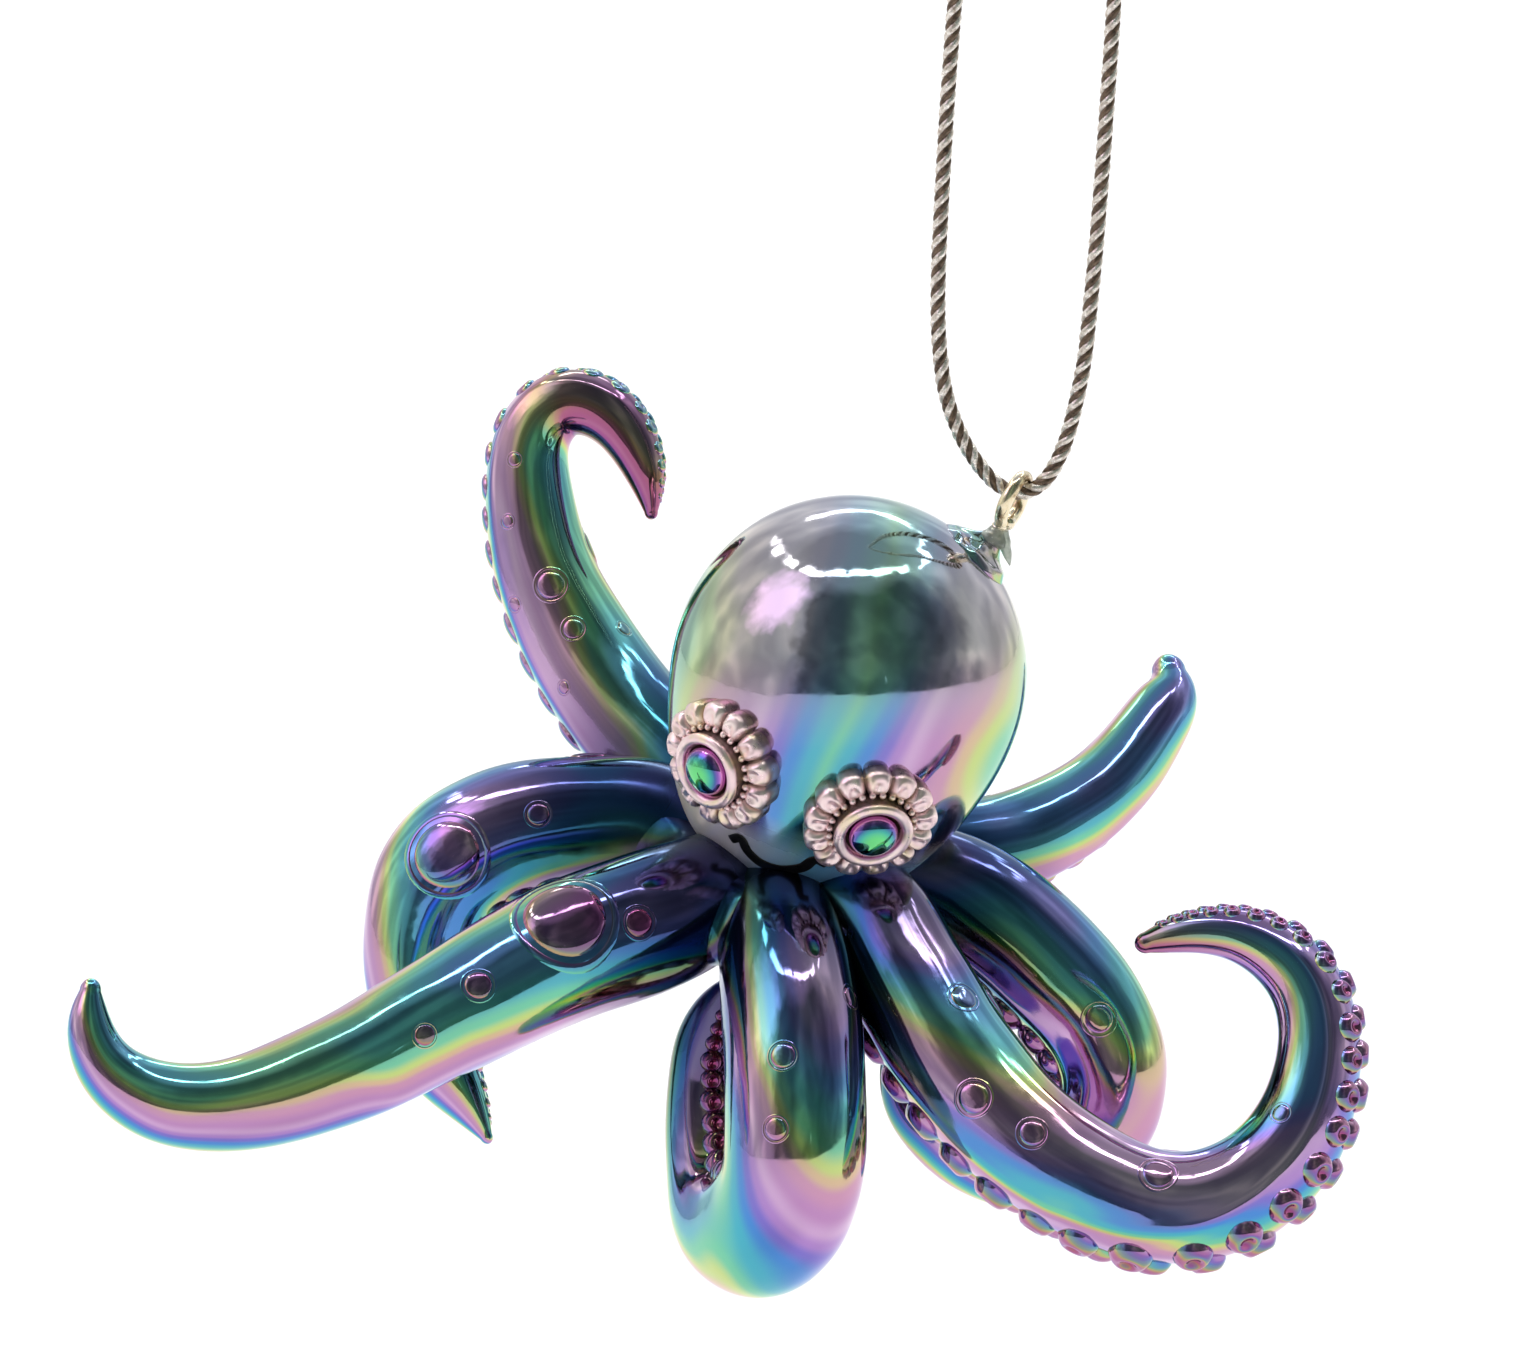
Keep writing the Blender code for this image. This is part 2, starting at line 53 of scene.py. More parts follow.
BODY_UP = Vector((0.310, 0.881, 0.355)).normalized()
BODY_FRONT = Vector((-0.246, -0.287, 0.925)).normalized()
HEAD_CENTRE = Vector((-11.65, -12.5, 0.0))
HEAD_PROFILE = [
    (12.56, 0.0), (12.2, 3.0), (11.1, 5.9), (9.2, 8.55), (6.7, 10.62), (3.6, 12.03), (0.0, 12.56),
    (-3.2, 12.25), (-6.5, 11.4), (-9.6, 10.2), (-12.2, 8.8), (-14.4, 7.0), (-15.8, 4.4),
    (-16.2, 0.0),
]
HUB_DROP = 17.0
HUB_RADIUS = 9.4
HUB_HALF_HEIGHT = 5.4
WEB_TOP = 13.7
WEB_LIMIT = 13.0
WEB_REACH = 20.0
EYE_AZIMUTH = math.radians(28.3)
FACE_TURN = math.radians(3.2)
EYE_DROP = 5.75
EYE_DIP = math.radians(16.0)
EYE_SINK = 0.4
PETALS = 13
PETAL_ROOT = 4.05
PETAL_DEPTH = 0.72
BEADS = 26
BEAD_CIRCLE = 3.02
STONE_RADIUS = 1.76
RING_LEAN = math.radians(27.0)
RING_TURN = math.radians(14.0)
RING_RADIUS = 1.75
WIRE_RADIUS = 0.50
WIRE_STEP = 0.09
SHANK = 1.35
CORD_SEAT = 0.42

# Each arm: across, up, out, radius along its middle, from inside the web to the tip
ARMS = {
    "arm_front_left": [
        (-20.6, -27.4, -2.2, 3.93), (-22.6, -28.7, 0.6, 4.63), (-26.9, -30.3, 3.4, 4.98),
        (-32.0, -32.1, 6.0, 4.84), (-39.9, -36.4, 9.0, 4.35), (-47.3, -40.3, 11.2, 3.86),
        (-54.3, -42.6, 12.6, 3.3), (-59.6, -42.5, 13.2, 2.88), (-63.3, -40.4, 13.6, 2.25),
        (-64.7, -37.5, 13.8, 1.68), (-64.7, -35.4, 13.9, 1.26), (-64.6, -34.7, 13.9, 0.77),
    ],
    "arm_left": [
        (-21.8, -24.8, -6.6, 3.79), (-25.4, -22.7, -7.6, 4.07), (-30.0, -22.7, -8.6, 4.35),
        (-35.5, -23.7, -9.4, 4.77), (-40.0, -26.4, -9.8, 4.84), (-41.8, -31.2, -10, 4.28),
        (-42.0, -35.8, -9.8, 3.65), (-40.8, -39.6, -9.2, 2.81), (-39.0, -42.4, -8.6, 1.89),
        (-37.8, -44.4, -8.2, 0.91), (-37.3, -45.3, -8.0, 0.46),
    ],
    "arm_back_left": [
        (-19.2, -24.3, -9.6, 3.79), (-22.7, -20.5, -12.6, 4.35), (-26.8, -16.3, -15.6, 4.35),
        (-30.7, -10.8, -17.8, 4.07), (-33.4, -5.1, -19, 3.65), (-34.5, 0.4, -19.4, 3.16),
        (-34.2, 4.5, -19.2, 2.74), (-31.8, 6.9, -18.6, 2.46), (-28.8, 6.1, -17.8, 2.25),
        (-26.9, 3.8, -17.2, 1.96), (-25.9, 1.0, -16.8, 1.33), (-25.7, -1.1, -16.6, 0.49),
    ],
    "arm_front": [
        (-17.0, -28.5, -1.6, 3.93), (-16.4, -31.4, 3.6, 4.49), (-15.7, -36.5, 8.0, 4.84),
        (-15.4, -42.7, 10.2, 4.91), (-15.8, -48.4, 9.6, 4.91), (-17.8, -51.6, 5.2, 4.84),
        (-20.1, -50.7, 0.8, 4.21), (-21.4, -46.6, -1.6, 3.23), (-21.9, -42.1, -1.6, 2.67),
        (-21.8, -38.2, -0.4, 2.11), (-20.7, -35.5, 1.4, 1.4), (-20.2, -34.5, 2.4, 0.7),
    ],
    "arm_front_right": [
        (-13.5, -27.9, -2.2, 3.79), (-10.1, -29.5, 1.4, 4.0), (-7.4, -34.5, 4.2, 4.35),
        (-4.5, -39.4, 6.6, 4.49), (-0.6, -44.2, 8.6, 4.42), (3.9, -47.6, 10, 4.28),
        (8.8, -49.8, 10.8, 4.14), (13.2, -49.8, 10.8, 4.0), (17.3, -47.7, 10.4, 3.79),
        (20.1, -43.8, 9.8, 3.44), (21.2, -39.0, 9.2, 3.02), (20.5, -34.8, 8.6, 2.74),
        (18.2, -32.1, 8.1, 2.32), (15.2, -30.7, 7.8, 1.89), (11.9, -30.7, 7.5, 1.4),
        (9.7, -31.2, 7.3, 1.12), (9.1, -31.4, 7.3, 0.77),
    ],
    "arm_right": [
        (-12.5, -26.7, -5.8, 3.79), (-6.6, -27.1, -6.6, 4.0), (-1.8, -29.6, -7.0, 4.49),
        (2.3, -33.2, -7.0, 4.49), (5.7, -37.3, -7.0, 4.21), (6.9, -41.3, -7.2, 4.0),
        (5.5, -45.2, -7.6, 3.72), (1.7, -47.3, -7.9, 3.3), (-2.8, -46.5, -8.0, 2.95),
        (-6.4, -43.4, -7.8, 2.6), (-7.5, -39.8, -7.2, 2.11), (-6.3, -36.6, -6.8, 1.26),
        (-5.8, -35.5, -6.6, 0.7),
    ],
    "arm_back_right": [
        (-12.8, -25.5, -9.2, 3.72), (-6.3, -25.6, -12.4, 4.0), (-0.4, -24.6, -15.8, 3.58),
        (4.8, -22.0, -19, 3.16), (8.4, -18.6, -21.6, 2.74), (10.7, -15.2, -23.6, 2.39),
        (11.6, -13.6, -24.6, 1.96), (11.2, -12.6, -25.0, 1.26),
    ],
    "arm_back": [
        (-15.6, -25.6, -10.6, 3.8), (-13.6, -23.6, -17.6, 4.0), (-12.6, -23.4, -24.4, 4.0),
        (-13.0, -26.4, -30.4, 3.8), (-14.2, -32.0, -33.0, 3.5), (-15.8, -38.0, -31.2, 3.1),
        (-17.0, -41.8, -26.4, 2.6), (-17.4, -41.6, -21.4, 1.9), (-17.0, -38.8, -18.4, 1.2),
        (-16.8, -37.6, -17.8, 0.7),
    ],
}
# Sucker radius over arm radius, height over sucker radius, and how maroon it is
SUCKERS = {
    "arm_front_left": (0.30, 0.7, 0.5), "arm_left": (0.30, 0.5, 0.8),
    "arm_back_left": (0.28, 0.5, 0.5), "arm_front": (0.30, 1.1, 1.0),
    "arm_front_right": (0.30, 1.0, 1.0), "arm_right": (0.30, 1.1, 1.0),
    "arm_back_right": (0.30, 0.6, 0.6), "arm_back": (0.32, 0.6, 0.8),
}
SUCKERS_FROM = 8.0
SUCKER_SPACING = 2.3
# How far the sucker side is turned round an arm, in degrees, a third of the way along and near
# the tip, and the shares of its length over which the film turns maroon
SUCKER_TURN = {
    "arm_front_right": (-18.0, -60.0), "arm_front_left": (-20.0, -34.0),
    "arm_back_left": (10.0, 18.0),
}
MAROON_FROM = {"arm_back_left": (0.68, 0.74), "arm_front_right": (0.84, 0.97)}
# How much thicker or thinner each arm's film is at these shares of its length, in turns of the
# colour ramp
FILM_PLACES = (0.12, 0.42, 1.0)
FILM_SHIFT = {
    "arm_front_left": (-0.08, 0.22, 0.12), "arm_left": (0.0, -0.02, 0.25),
    "arm_back_left": (-0.05, 0.30, 0.35), "arm_front": (-0.08, 0.32, 0.35),
    "arm_front_right": (-0.10, 0.80, 0.95), "arm_right": (-0.06, 0.28, 0.30),
    "arm_back_right": (0.05, 0.12, 0.05), "arm_back": (0.0, 0.2, 0.4),
}
# How maroon the blisters are, and on which arm's front they are more so
PLAIN_TINT = 0.25
BLISTER_TINT = {"arm_front_left": 0.8}
ARM_SIDES = 64
TIP_RINGS = 8
# Blisters seen from the front: across, up, radius
DOMES = {
    "arm_front_left": [(-31.6, -29.5, 3.2), (-26.4, -30.0, 1.1), (-37.6, -34.3, 1.05),
                       (-41.3, -37.8, 0.8)],
    "arm_left": [(-40.1, -25.3, 2.6), (-33.6, -22.5, 0.85)],
    "arm_back_left": [(-32.8, -6.3, 1.1), (-31.2, -9.4, 0.8), (-27.6, -9.4, 0.6), (-35.4, 2.6, 0.5),
                      (-35.9, -1.8, 0.5), (-35.4, -7.7, 0.55), (-31.9, -13.6, 0.5)],
    "arm_front": [(-16.4, -39.2, 0.95), (-16.9, -44.3, 0.85), (-11.6, -35.2, 0.85)],
    "arm_front_right": [(-3.7, -35.2, 1.05), (-3.1, -42.2, 1.2), (1.0, -44.6, 1.0),
                        (9.75, -47.4, 1.2), (18.3, -43.2, 0.7)],
    "arm_right": [(5.9, -36.9, 1.1)],
    "arm_back_right": [],
    "arm_back": [],
}
SMILE = [
    (-20.0, -24.2), (-19.3, -24.15), (-18.85, -25.0), (-18.0, -25.8), (-16.95, -26.25),
    (-16.0, -26.35), (-14.95, -26.15), (-14.15, -25.65), (-13.3, -26.0),
]
# In front of everything, where lines of sight to the octopus start
FAR_OUT = 60.0
# Cord loop: across, height above its lowest point, from the knot over the top and round
CORD_ROUTE = [
    (5.1, 41.9), (4.3, 42.8), (2.4, 44.2), (0.0, 44.55), (-2.2, 42.8), (-3.7, 39.4), (-4.25, 36.0),
    (-4.9, 27.2), (-5.37, 18.5), (-5.47, 15.85), (-5.5, 12.6), (-5.33, 9.7), (-4.88, 6.8),
    (-3.8, 3.95), (-2.5, 1.9), (-1.2, 0.55), (0.1, 0.0), (1.5, 0.4), (2.5, 1.55), (3.1, 2.8),
    (3.6, 4.1), (4.25, 6.8), (4.8, 9.7), (5.1, 12.6), (5.41, 15.85), (5.65, 18.5), (6.28, 27.2),
    (6.84, 36.0), (6.84, 37.6), (6.75, 38.4),
]
KNOT_LOW = (6.75, 38.4)
KNOT_HIGH = (5.1, 41.9)
TREFOIL_SIZE = 0.36
TAIL_LENGTH = 3.4
TAIL_SAG = 0.5
TAIL_SPREAD = 0.42


def board(across, up, out):
    y = up * math.sin(BOARD_TILT) - out * math.cos(BOARD_TILT)
    z = up * math.cos(BOARD_TILT) + out * math.sin(BOARD_TILT) - LOOP_DROP
    return Vector((across, y, z)) * MM


def octopus_point(across, up, out):
    return board(across, up, out - SETBACK)


def board_direction(vector):
    return (board(*vector) - board(0, 0, 0)).normalized()


def cord_point(across, height):
    return Vector((across, 0.0, height - LOOP_DROP)) * MM


VIEW_DIRECTION = board_direction((0, 0, 1))
body_up = board_direction(BODY_UP)
body_front = board_direction(BODY_FRONT)
body_right = body_up.cross(body_front).normalized()
head_centre = octopus_point(*HEAD_CENTRE)
hub_centre = head_centre - body_up * HUB_DROP * MM

# ---- camera
FRAME_WIDTH = 106.8 * MM
CAMERA_DISTANCE = 1.6
target = board(-17.9, -13.33, 0.0)
camera_data = bpy.data.cameras.new("camera")
camera = bpy.data.objects.new("camera", camera_data)
bpy.context.scene.collection.objects.link(camera)
camera_data.sensor_width = 36.0
camera_data.lens = 36.0 * CAMERA_DISTANCE / FRAME_WIDTH
camera_data.clip_end = 20.0
camera.location = target + VIEW_DIRECTION * CAMERA_DISTANCE
camera.rotation_euler = (-VIEW_DIRECTION).to_track_quat("-Z", "Y").to_euler()
bpy.context.scene.camera = camera
bpy.context.scene.view_settings.view_transform = "Standard"


# ---- mesh helpers
class Build:
    """Grids and rings gathered into one mesh."""

    def __init__(self):
        self.points, self.faces, self.kinds, self.tones, self.slots = [], [], [], [], []
        self.count = 0
        self.tone = 0.0

    def grid(self, rows, slot=0, cap_start=False, cap_end=False):
        """rows is an array of rings, shape (n, m, 3); the rings close on themselves."""
        n, m, _ = rows.shape
        base = self.count
        self.points.append(rows.reshape(-1, 3))
        self.count += n * m
        i = np.arange(n - 1)[:, None]
        j = np.arange(m)[None, :]
        k = (j + 1) % m
        quads = np.stack([i * m + j, i * m + k, (i + 1) * m + k, (i + 1) * m + j], axis=-1)
        quads = quads.reshape(-1, 4) + base
        faces = quads.tolist()
        if cap_start:
            faces.append(list(range(base + m - 1, base - 1, -1)))
        if cap_end:
            faces.append(list(range(base + (n - 1) * m, base + n * m)))
        self.faces += faces
        self.kinds.append(np.zeros(n * m))
        self.tones.append(np.full(n * m, self.tone))
        self.slots += [slot] * len(faces)

    def object(self, name, materials):
        data = bpy.data.meshes.new(name)
        data.from_pydata(np.concatenate(self.points).tolist(), [], self.faces)
        for made in materials:
            data.materials.append(made)
        data.polygons.foreach_set("material_index", self.slots)
        data.polygons.foreach_set("use_smooth", [True] * len(self.faces))
        kind = data.attributes.new("kind", "FLOAT", "POINT")
        kind.data.foreach_set("value", np.concatenate(self.kinds))
        shift = data.attributes.new("tone", "FLOAT", "POINT")
        shift.data.foreach_set("value", np.concatenate(self.tones))
        data.update()
        item = bpy.data.objects.new(name, data)
        bpy.context.scene.collection.objects.link(item)
        return item


def solid(name, rows, *materials):
    """An object of one closed run of rings."""
    build = Build()
    build.grid(rows, cap_start=True, cap_end=True)
    return build.object(name, materials)


def circle(count):
    return np.linspace(0, 2 * math.pi, count, endpoint=False)


def ring_about(angle, first, second):
    """Unit circles through the given angles, in the plane of two directions or lists of them."""
    return (first[..., None, :] * np.cos(angle)[:, None]
            + second[..., None, :] * np.sin(angle)[:, None])


def lengths(line):
    """How far along a line each of its points is."""
    return np.concatenate([[0.0], np.cumsum(np.linalg.norm(np.diff(line, axis=0), axis=1))])


def spline(points, per_span):
    """Catmull-Rom through the points, as an array."""
    p = np.asarray(points, float)
    ends = np.vstack([2 * p[0] - p[1], p, 2 * p[-1] - p[-2]])
    t = (np.arange(per_span) / per_span)[:, None]
    out = []
    for i in range(1, len(ends) - 2):
        b, s, e, a = ends[i - 1], ends[i], ends[i + 1], ends[i + 2]
        out.append(0.5 * (2 * s + (e - b) * t + (2 * b - 5 * s + 4 * e - a) * t**2
                          + (3 * s - b - 3 * e + a) * t**3))
    out.append(p[-1:])
    return np.vstack(out)


def even(points, step):
    """The same polyline resampled at an even step."""
    along = lengths(points[:, :3])
    count = max(4, int(round(along[-1] / step)) + 1)
    wanted = np.linspace(0, along[-1], count)
    return np.column_stack([np.interp(wanted, along, column) for column in points.T])


def relax(points, sigma):
    """Gaussian smoothing along the line that keeps both ends."""
    reach = int(sigma * 3) + 1
    kernel = np.exp(-0.5 * (np.arange(-reach, reach + 1) / sigma) ** 2)
    kernel /= kernel.sum()
    before = 2 * points[0] - points[reach:0:-1]
    after = 2 * points[-1] - points[-2:-reach - 2:-1]
    padded = np.vstack([before, points, after])
    return np.column_stack([np.convolve(column, kernel, "valid") for column in padded.T])


def frames(line, first):
    """Tangents and a carried side direction along a line, starting from the hint."""
    tangent = np.gradient(line, axis=0)
    tangent /= np.linalg.norm(tangent, axis=1)[:, None]
    side = np.zeros_like(line)
    hint = np.asarray(first, float)
    for i, t in enumerate(tangent):
        hint = hint - t * np.dot(hint, t)
        hint /= np.linalg.norm(hint)
        side[i] = hint
    return tangent, side, np.cross(tangent, side)


def wave(points, scale, seed):
    """A slow, smooth wobble from a few summed sines, between about -1 and 1."""
    rng = np.random.default_rng(seed)
    total = np.zeros(points.shape[:-1])
    for _ in range(5):
        direction = rng.normal(size=3)
        direction /= np.linalg.norm(direction)
        total += np.sin(points @ direction * (2 * math.pi / scale) * rng.uniform(0.7, 1.4)
                        + rng.uniform(0, 6.28))
    return total / 5


def tube_rows(line, radii, sides, hint=(0, 1, 0)):
    _, side, across = frames(line, hint)
    ring = ring_about(circle(sides), side, across)
    return line[:, None, :] + ring * radii[:, None, None]


def lathe_rows(profile, sides, centre, axis, hint):
    """profile rows of height and radius in mm, about an axis at the centre."""
    z = np.asarray(axis.normalized())
    y = np.asarray(axis.cross(hint).normalized())
    x = np.cross(y, z)
    height, radius = np.asarray(profile, float).T[..., None, None]
    return (ring_about(circle(sides), x, y) * radius + z * height) * MM + np.asarray(centre)


# ---- materials
def node_material(name):
    made = bpy.data.materials.new(name)
    made.use_nodes = True
    tree = made.node_tree
    return made, tree, tree.nodes["Principled BSDF"]


def coordinates(tree, kind="Object"):
    return tree.nodes.new("ShaderNodeTexCoord").outputs[kind]


def attribute_node(tree, name):
    node = tree.nodes.new("ShaderNodeAttribute")
    node.attribute_name = name
    return node.outputs["Fac"]


def vector_node(tree, operation, vector, fixed):
    node = tree.nodes.new("ShaderNodeVectorMath")
    node.operation = operation
    tree.links.new(vector, node.inputs[0])
    node.inputs[1].default_value = fixed
    return node.outputs["Value"]


def greys(*stops):
    return [(place, (value,) * 3) for place, value in stops]


def math_node(tree, operation, a, b=None, c=None):
    node = tree.nodes.new("ShaderNodeMath")
    node.operation = operation
    for socket, value in zip(node.inputs, (a, b, c)):
        if value is None:
            continue
        if isinstance(value, (int, float)):
            socket.default_value = value
        else:
            tree.links.new(value, socket)
    return node.outputs[0]


def axes_node(tree, vector):
    node = tree.nodes.new("ShaderNodeSeparateXYZ")
    tree.links.new(vector, node.inputs[0])
    return node.outputs


def ramp_node(tree, factor, stops, mode="LINEAR"):
    node = tree.nodes.new("ShaderNodeValToRGB")
    node.color_ramp.interpolation = mode
    elements = node.color_ramp.elements
    while len(elements) < len(stops):
        elements.new(0.5)
    for element, (place, colour) in zip(elements, stops):
        element.position = place
        element.color = (*colour, 1.0)
    tree.links.new(factor, node.inputs[0])
    return node.outputs[0]


def noise_node(tree, vector, scale, detail=2.0, roughness=0.5, distortion=0.0):
    node = tree.nodes.new("ShaderNodeTexNoise")
    node.inputs["Scale"].default_value = scale
    node.inputs["Detail"].default_value = detail
    node.inputs["Roughness"].default_value = roughness
    node.inputs["Distortion"].default_value = distortion
    tree.links.new(vector, node.inputs["Vector"])
    return node.outputs[0]


def mix_colour(tree, factor, a, b, blend="MIX"):
    node = tree.nodes.new("ShaderNodeMix")
    node.data_type = "RGBA"
    node.blend_type = blend
    for socket, value in ((node.inputs[0], factor), (node.inputs[6], a), (node.inputs[7], b)):
        if isinstance(value, (int, float)):
            socket.default_value = value
        elif isinstance(value, tuple):
            socket.default_value = (*value, 1.0)
        else:
            tree.links.new(value, socket)
    return node.outputs[2]


def paint(tree, shader, colour, rough):
    tree.links.new(colour, shader.inputs["Base Color"])
    tree.links.new(rough, shader.inputs["Roughness"])


def bump(tree, shader, height, strength, distance):
    node = tree.nodes.new("ShaderNodeBump")
    node.inputs["Strength"].default_value = strength
    node.inputs["Distance"].default_value = distance
    tree.links.new(height, node.inputs["Height"])
    tree.links.new(node.outputs[0], shader.inputs["Normal"])


FILM = [
    (0.00, (0.60, 0.36, 0.62)), (0.09, (0.42, 0.22, 0.58)), (0.17, (0.20, 0.15, 0.58)),
    (0.27, (0.06, 0.24, 0.64)), (0.39, (0.06, 0.42, 0.54)), (0.51, (0.16, 0.58, 0.36)),
    (0.60, (0.54, 0.66, 0.20)), (0.66, (0.66, 0.46, 0.28)), (0.74, (0.58, 0.28, 0.44)),
    (0.88, (0.50, 0.24, 0.50)), (1.00, (0.60, 0.36, 0.62)),
]
# Pale grey-green mixed in where the plating faces up, a painted reflection
PALE_REFLECTION = (0.40, 0.50, 0.44)
MAROON = (0.32, 0.04, 0.12)
ROOTS_REACH = 30
CHIN_LEFT = 7
CHIN_WIDTH = 12


def plated(name, shift=0.42, spread=0.5, drift=0.75, along=62.0, lift=-0.46, sideways=-0.42,
           grey=(0.06, 0.22), fold=None, chin=None):
    """Oil-slick plating: its colour turns with the surface's direction and the film's thickness,
    plus painted reflection and shade.
    """
    made, tree, shader = node_material(name)
    place, normal = coordinates(tree), coordinates(tree, "Normal")
    facing = vector_node(tree, "DOT_PRODUCT", normal, VIEW_DIRECTION)
    turned = math_node(tree, "MULTIPLY", math_node(tree, "SUBTRACT", 1.0, facing), spread)
    slope = axes_node(tree, normal)
    tilt = math_node(tree, "MULTIPLY", slope["Z"], lift)
    tilt = math_node(tree, "ADD", tilt, math_node(tree, "MULTIPLY", slope["X"], sideways))
    thickness = noise_node(tree, place, along, 1.0, 0.4, 0.6)
    thickness = math_node(tree, "MULTIPLY", math_node(tree, "SUBTRACT", thickness, 0.5), drift)
    phase = math_node(tree, "ADD", math_node(tree, "ADD", turned, thickness),
                      math_node(tree, "ADD", tilt, shift))
    phase = math_node(tree, "ADD", phase, attribute_node(tree, "tone"))
    if fold is not None:
        # The film is thickest along a line down the head, and its colours repeat on both sides
        from_fold = math_node(tree, "ABSOLUTE", math_node(tree, "SUBTRACT", phase, fold))
        phase = math_node(tree, "SUBTRACT", fold, from_fold)
    colour = ramp_node(tree, math_node(tree, "FRACT", phase), FILM, "EASE")
    # Painted reflection: the colour turns paler grey-green where the surface faces up
    painted_paleness = ramp_node(tree, math_node(tree, "ADD", slope["Z"], 0.5),
                      greys((0.25, grey[0]), (0.75, grey[1])))
    colour = mix_colour(tree, painted_paleness, colour, PALE_REFLECTION)
    speck = noise_node(tree, place, 900.0, 3.0, 0.6)
    rough = ramp_node(tree, speck, greys((0.40, 0.05), (0.75, 0.13)))
    shader.inputs["Metallic"].default_value = 1.0
    if chin is None:
        # Painted shade: darker towards the arms' roots, between them, and rougher there
        from_hub = vector_node(tree, "DISTANCE", place, hub_centre)
        rooted = math_node(tree, "MULTIPLY", from_hub, 1.0 / (ROOTS_REACH * MM))
        root_shade = ramp_node(tree, rooted, [
            (0.32, (0.08, 0.13, 0.19)), (0.52, (0.26, 0.34, 0.42)), (0.78, (1, 1, 1)),
        ])
        colour = mix_colour(tree, 1.0, colour, root_shade, "MULTIPLY")
        dull = ramp_node(tree, rooted, greys((0.30, 1), (0.50, 0)))
        rough = mix_colour(tree, dull, rough, (0.30, 0.30, 0.30))
    maroon = mix_colour(tree, 0.8, colour, MAROON)
    colour = mix_colour(tree, attribute_node(tree, "kind"), colour, maroon)
    if chin is not None:
        # Thin, satin plating under the face, setting in between two depths below the head's middle
        below = vector_node(tree, "DOT_PRODUCT", place, -body_up)
        depth = math_node(tree, "ADD", below, head_centre.dot(body_up) - chin[0] * MM)
        worn = math_node(tree, "MULTIPLY", depth, 1.0 / ((chin[1] - chin[0]) * MM))
        worn = ramp_node(tree, worn, greys((0.0, 0), (1.0, 0.85)))
        sides = vector_node(tree, "DOT_PRODUCT", place, body_right)
        over = math_node(tree, "ADD", sides, CHIN_LEFT * MM - head_centre.dot(body_right))
        satin = ramp_node(tree, math_node(tree, "MULTIPLY", over, 1.0 / (CHIN_WIDTH * MM)), [
            (0.10, (0.78, 0.74, 0.64)), (0.45, (0.50, 0.54, 0.62)), (0.85, (0.14, 0.36, 0.58)),
        ])
        colour = mix_colour(tree, worn, colour, satin)
        rough = mix_colour(tree, worn, rough, (0.34, 0.34, 0.34))
        tree.links.new(math_node(tree, "MULTIPLY_ADD", worn, -0.75, 1.0), shader.inputs["Metallic"])
    paint(tree, shader, colour, rough)
    bump(tree, shader, noise_node(tree, place, 260.0, 2.0, 0.5), 0.10, 0.0004)
    return made


skin = plated("oil_slick_plating")
head_skin = plated("oil_slick_plating_head", shift=0.47, spread=0.0, drift=0.40, along=60.0,
                   lift=0.30, sideways=-0.95, grey=(0.14, 0.66), fold=0.49, chin=(8.0, 11.0))


def silvered(name):
    made, tree, shader = node_material(name)
    place = coordinates(tree)
    metal = ramp_node(tree, noise_node(tree, place, 500.0, 2.0, 0.5), [
        (0.3, (0.98, 0.84, 0.79)), (0.5, (0.95, 0.72, 0.74)), (0.7, (0.90, 0.77, 0.52)),
    ])
    # Painted shade: the metal is darkened toward dark brown by the kind attribute, in the setting's
    # hollows and under it
    colour = mix_colour(tree, attribute_node(tree, "kind"), metal, (0.16, 0.09, 0.05))
    shader.inputs["Metallic"].default_value = 0.9
    fine = noise_node(tree, place, 1800.0, 3.0, 0.6)
    paint(tree, shader, colour, ramp_node(tree, fine, greys((0.3, 0.26), (0.8, 0.42))))
    bump(tree, shader, fine, 0.25, 0.0001)
    return made


setting_metal = silvered("champagne_setting")


def stone_material(side, axis):
    """Foiled glass: green seen along the stone's axis, through blue to violet at its rim."""
    made, tree, shader = node_material(f"foiled_stone_{side}")
    facing = vector_node(tree, "DOT_PRODUCT", coordinates(tree, "Normal"), axis)
    colour = ramp_node(tree, facing, [
        (0.42, (0.60, 0.22, 0.60)), (0.60, (0.22, 0.08, 0.46)), (0.74, (0.03, 0.10, 0.34)),
        (0.86, (0.03, 0.40, 0.34)), (0.97, (0.12, 0.66, 0.20)),
    ])
    haze = noise_node(tree, coordinates(tree), 1500.0, 2.0, 0.5)
    paint(tree, shader, colour, ramp_node(tree, haze, greys((0.3, 0.03), (0.8, 0.09))))
    shader.inputs["Metallic"].default_value = 1.0
    shader.inputs["Coat Weight"].default_value = 1.0
    shader.inputs["Coat Roughness"].default_value = 0.02
    return made


def wire_material():
    made, tree, shader = node_material("pale_gold_wire")
    wear = noise_node(tree, coordinates(tree), 900.0, 3.0, 0.6)
    colour = ramp_node(tree, wear, [
        (0.30, (0.34, 0.22, 0.10)), (0.45, (0.86, 0.74, 0.50)), (0.8, (0.94, 0.88, 0.76)),
    ])
    paint(tree, shader, colour, ramp_node(tree, wear, greys((0.3, 0.30), (0.6, 0.10))))
    shader.inputs["Metallic"].default_value = 1.0
    bump(tree, shader, wear, 0.12, 0.0001)
    return made


def thread_material(name, low, high, metallic):
    made, tree, shader = node_material(name)
    glint = noise_node(tree, coordinates(tree), 2600.0, 3.0, 0.7)
    colour = ramp_node(tree, glint, [(0.30, low), (0.62, high)])
    paint(tree, shader, colour, ramp_node(tree, glint, greys((0.3, 0.45), (0.7, 0.18))))
    shader.inputs["Metallic"].default_value = metallic
    bump(tree, shader, glint, 0.5, 0.00015)
    return made


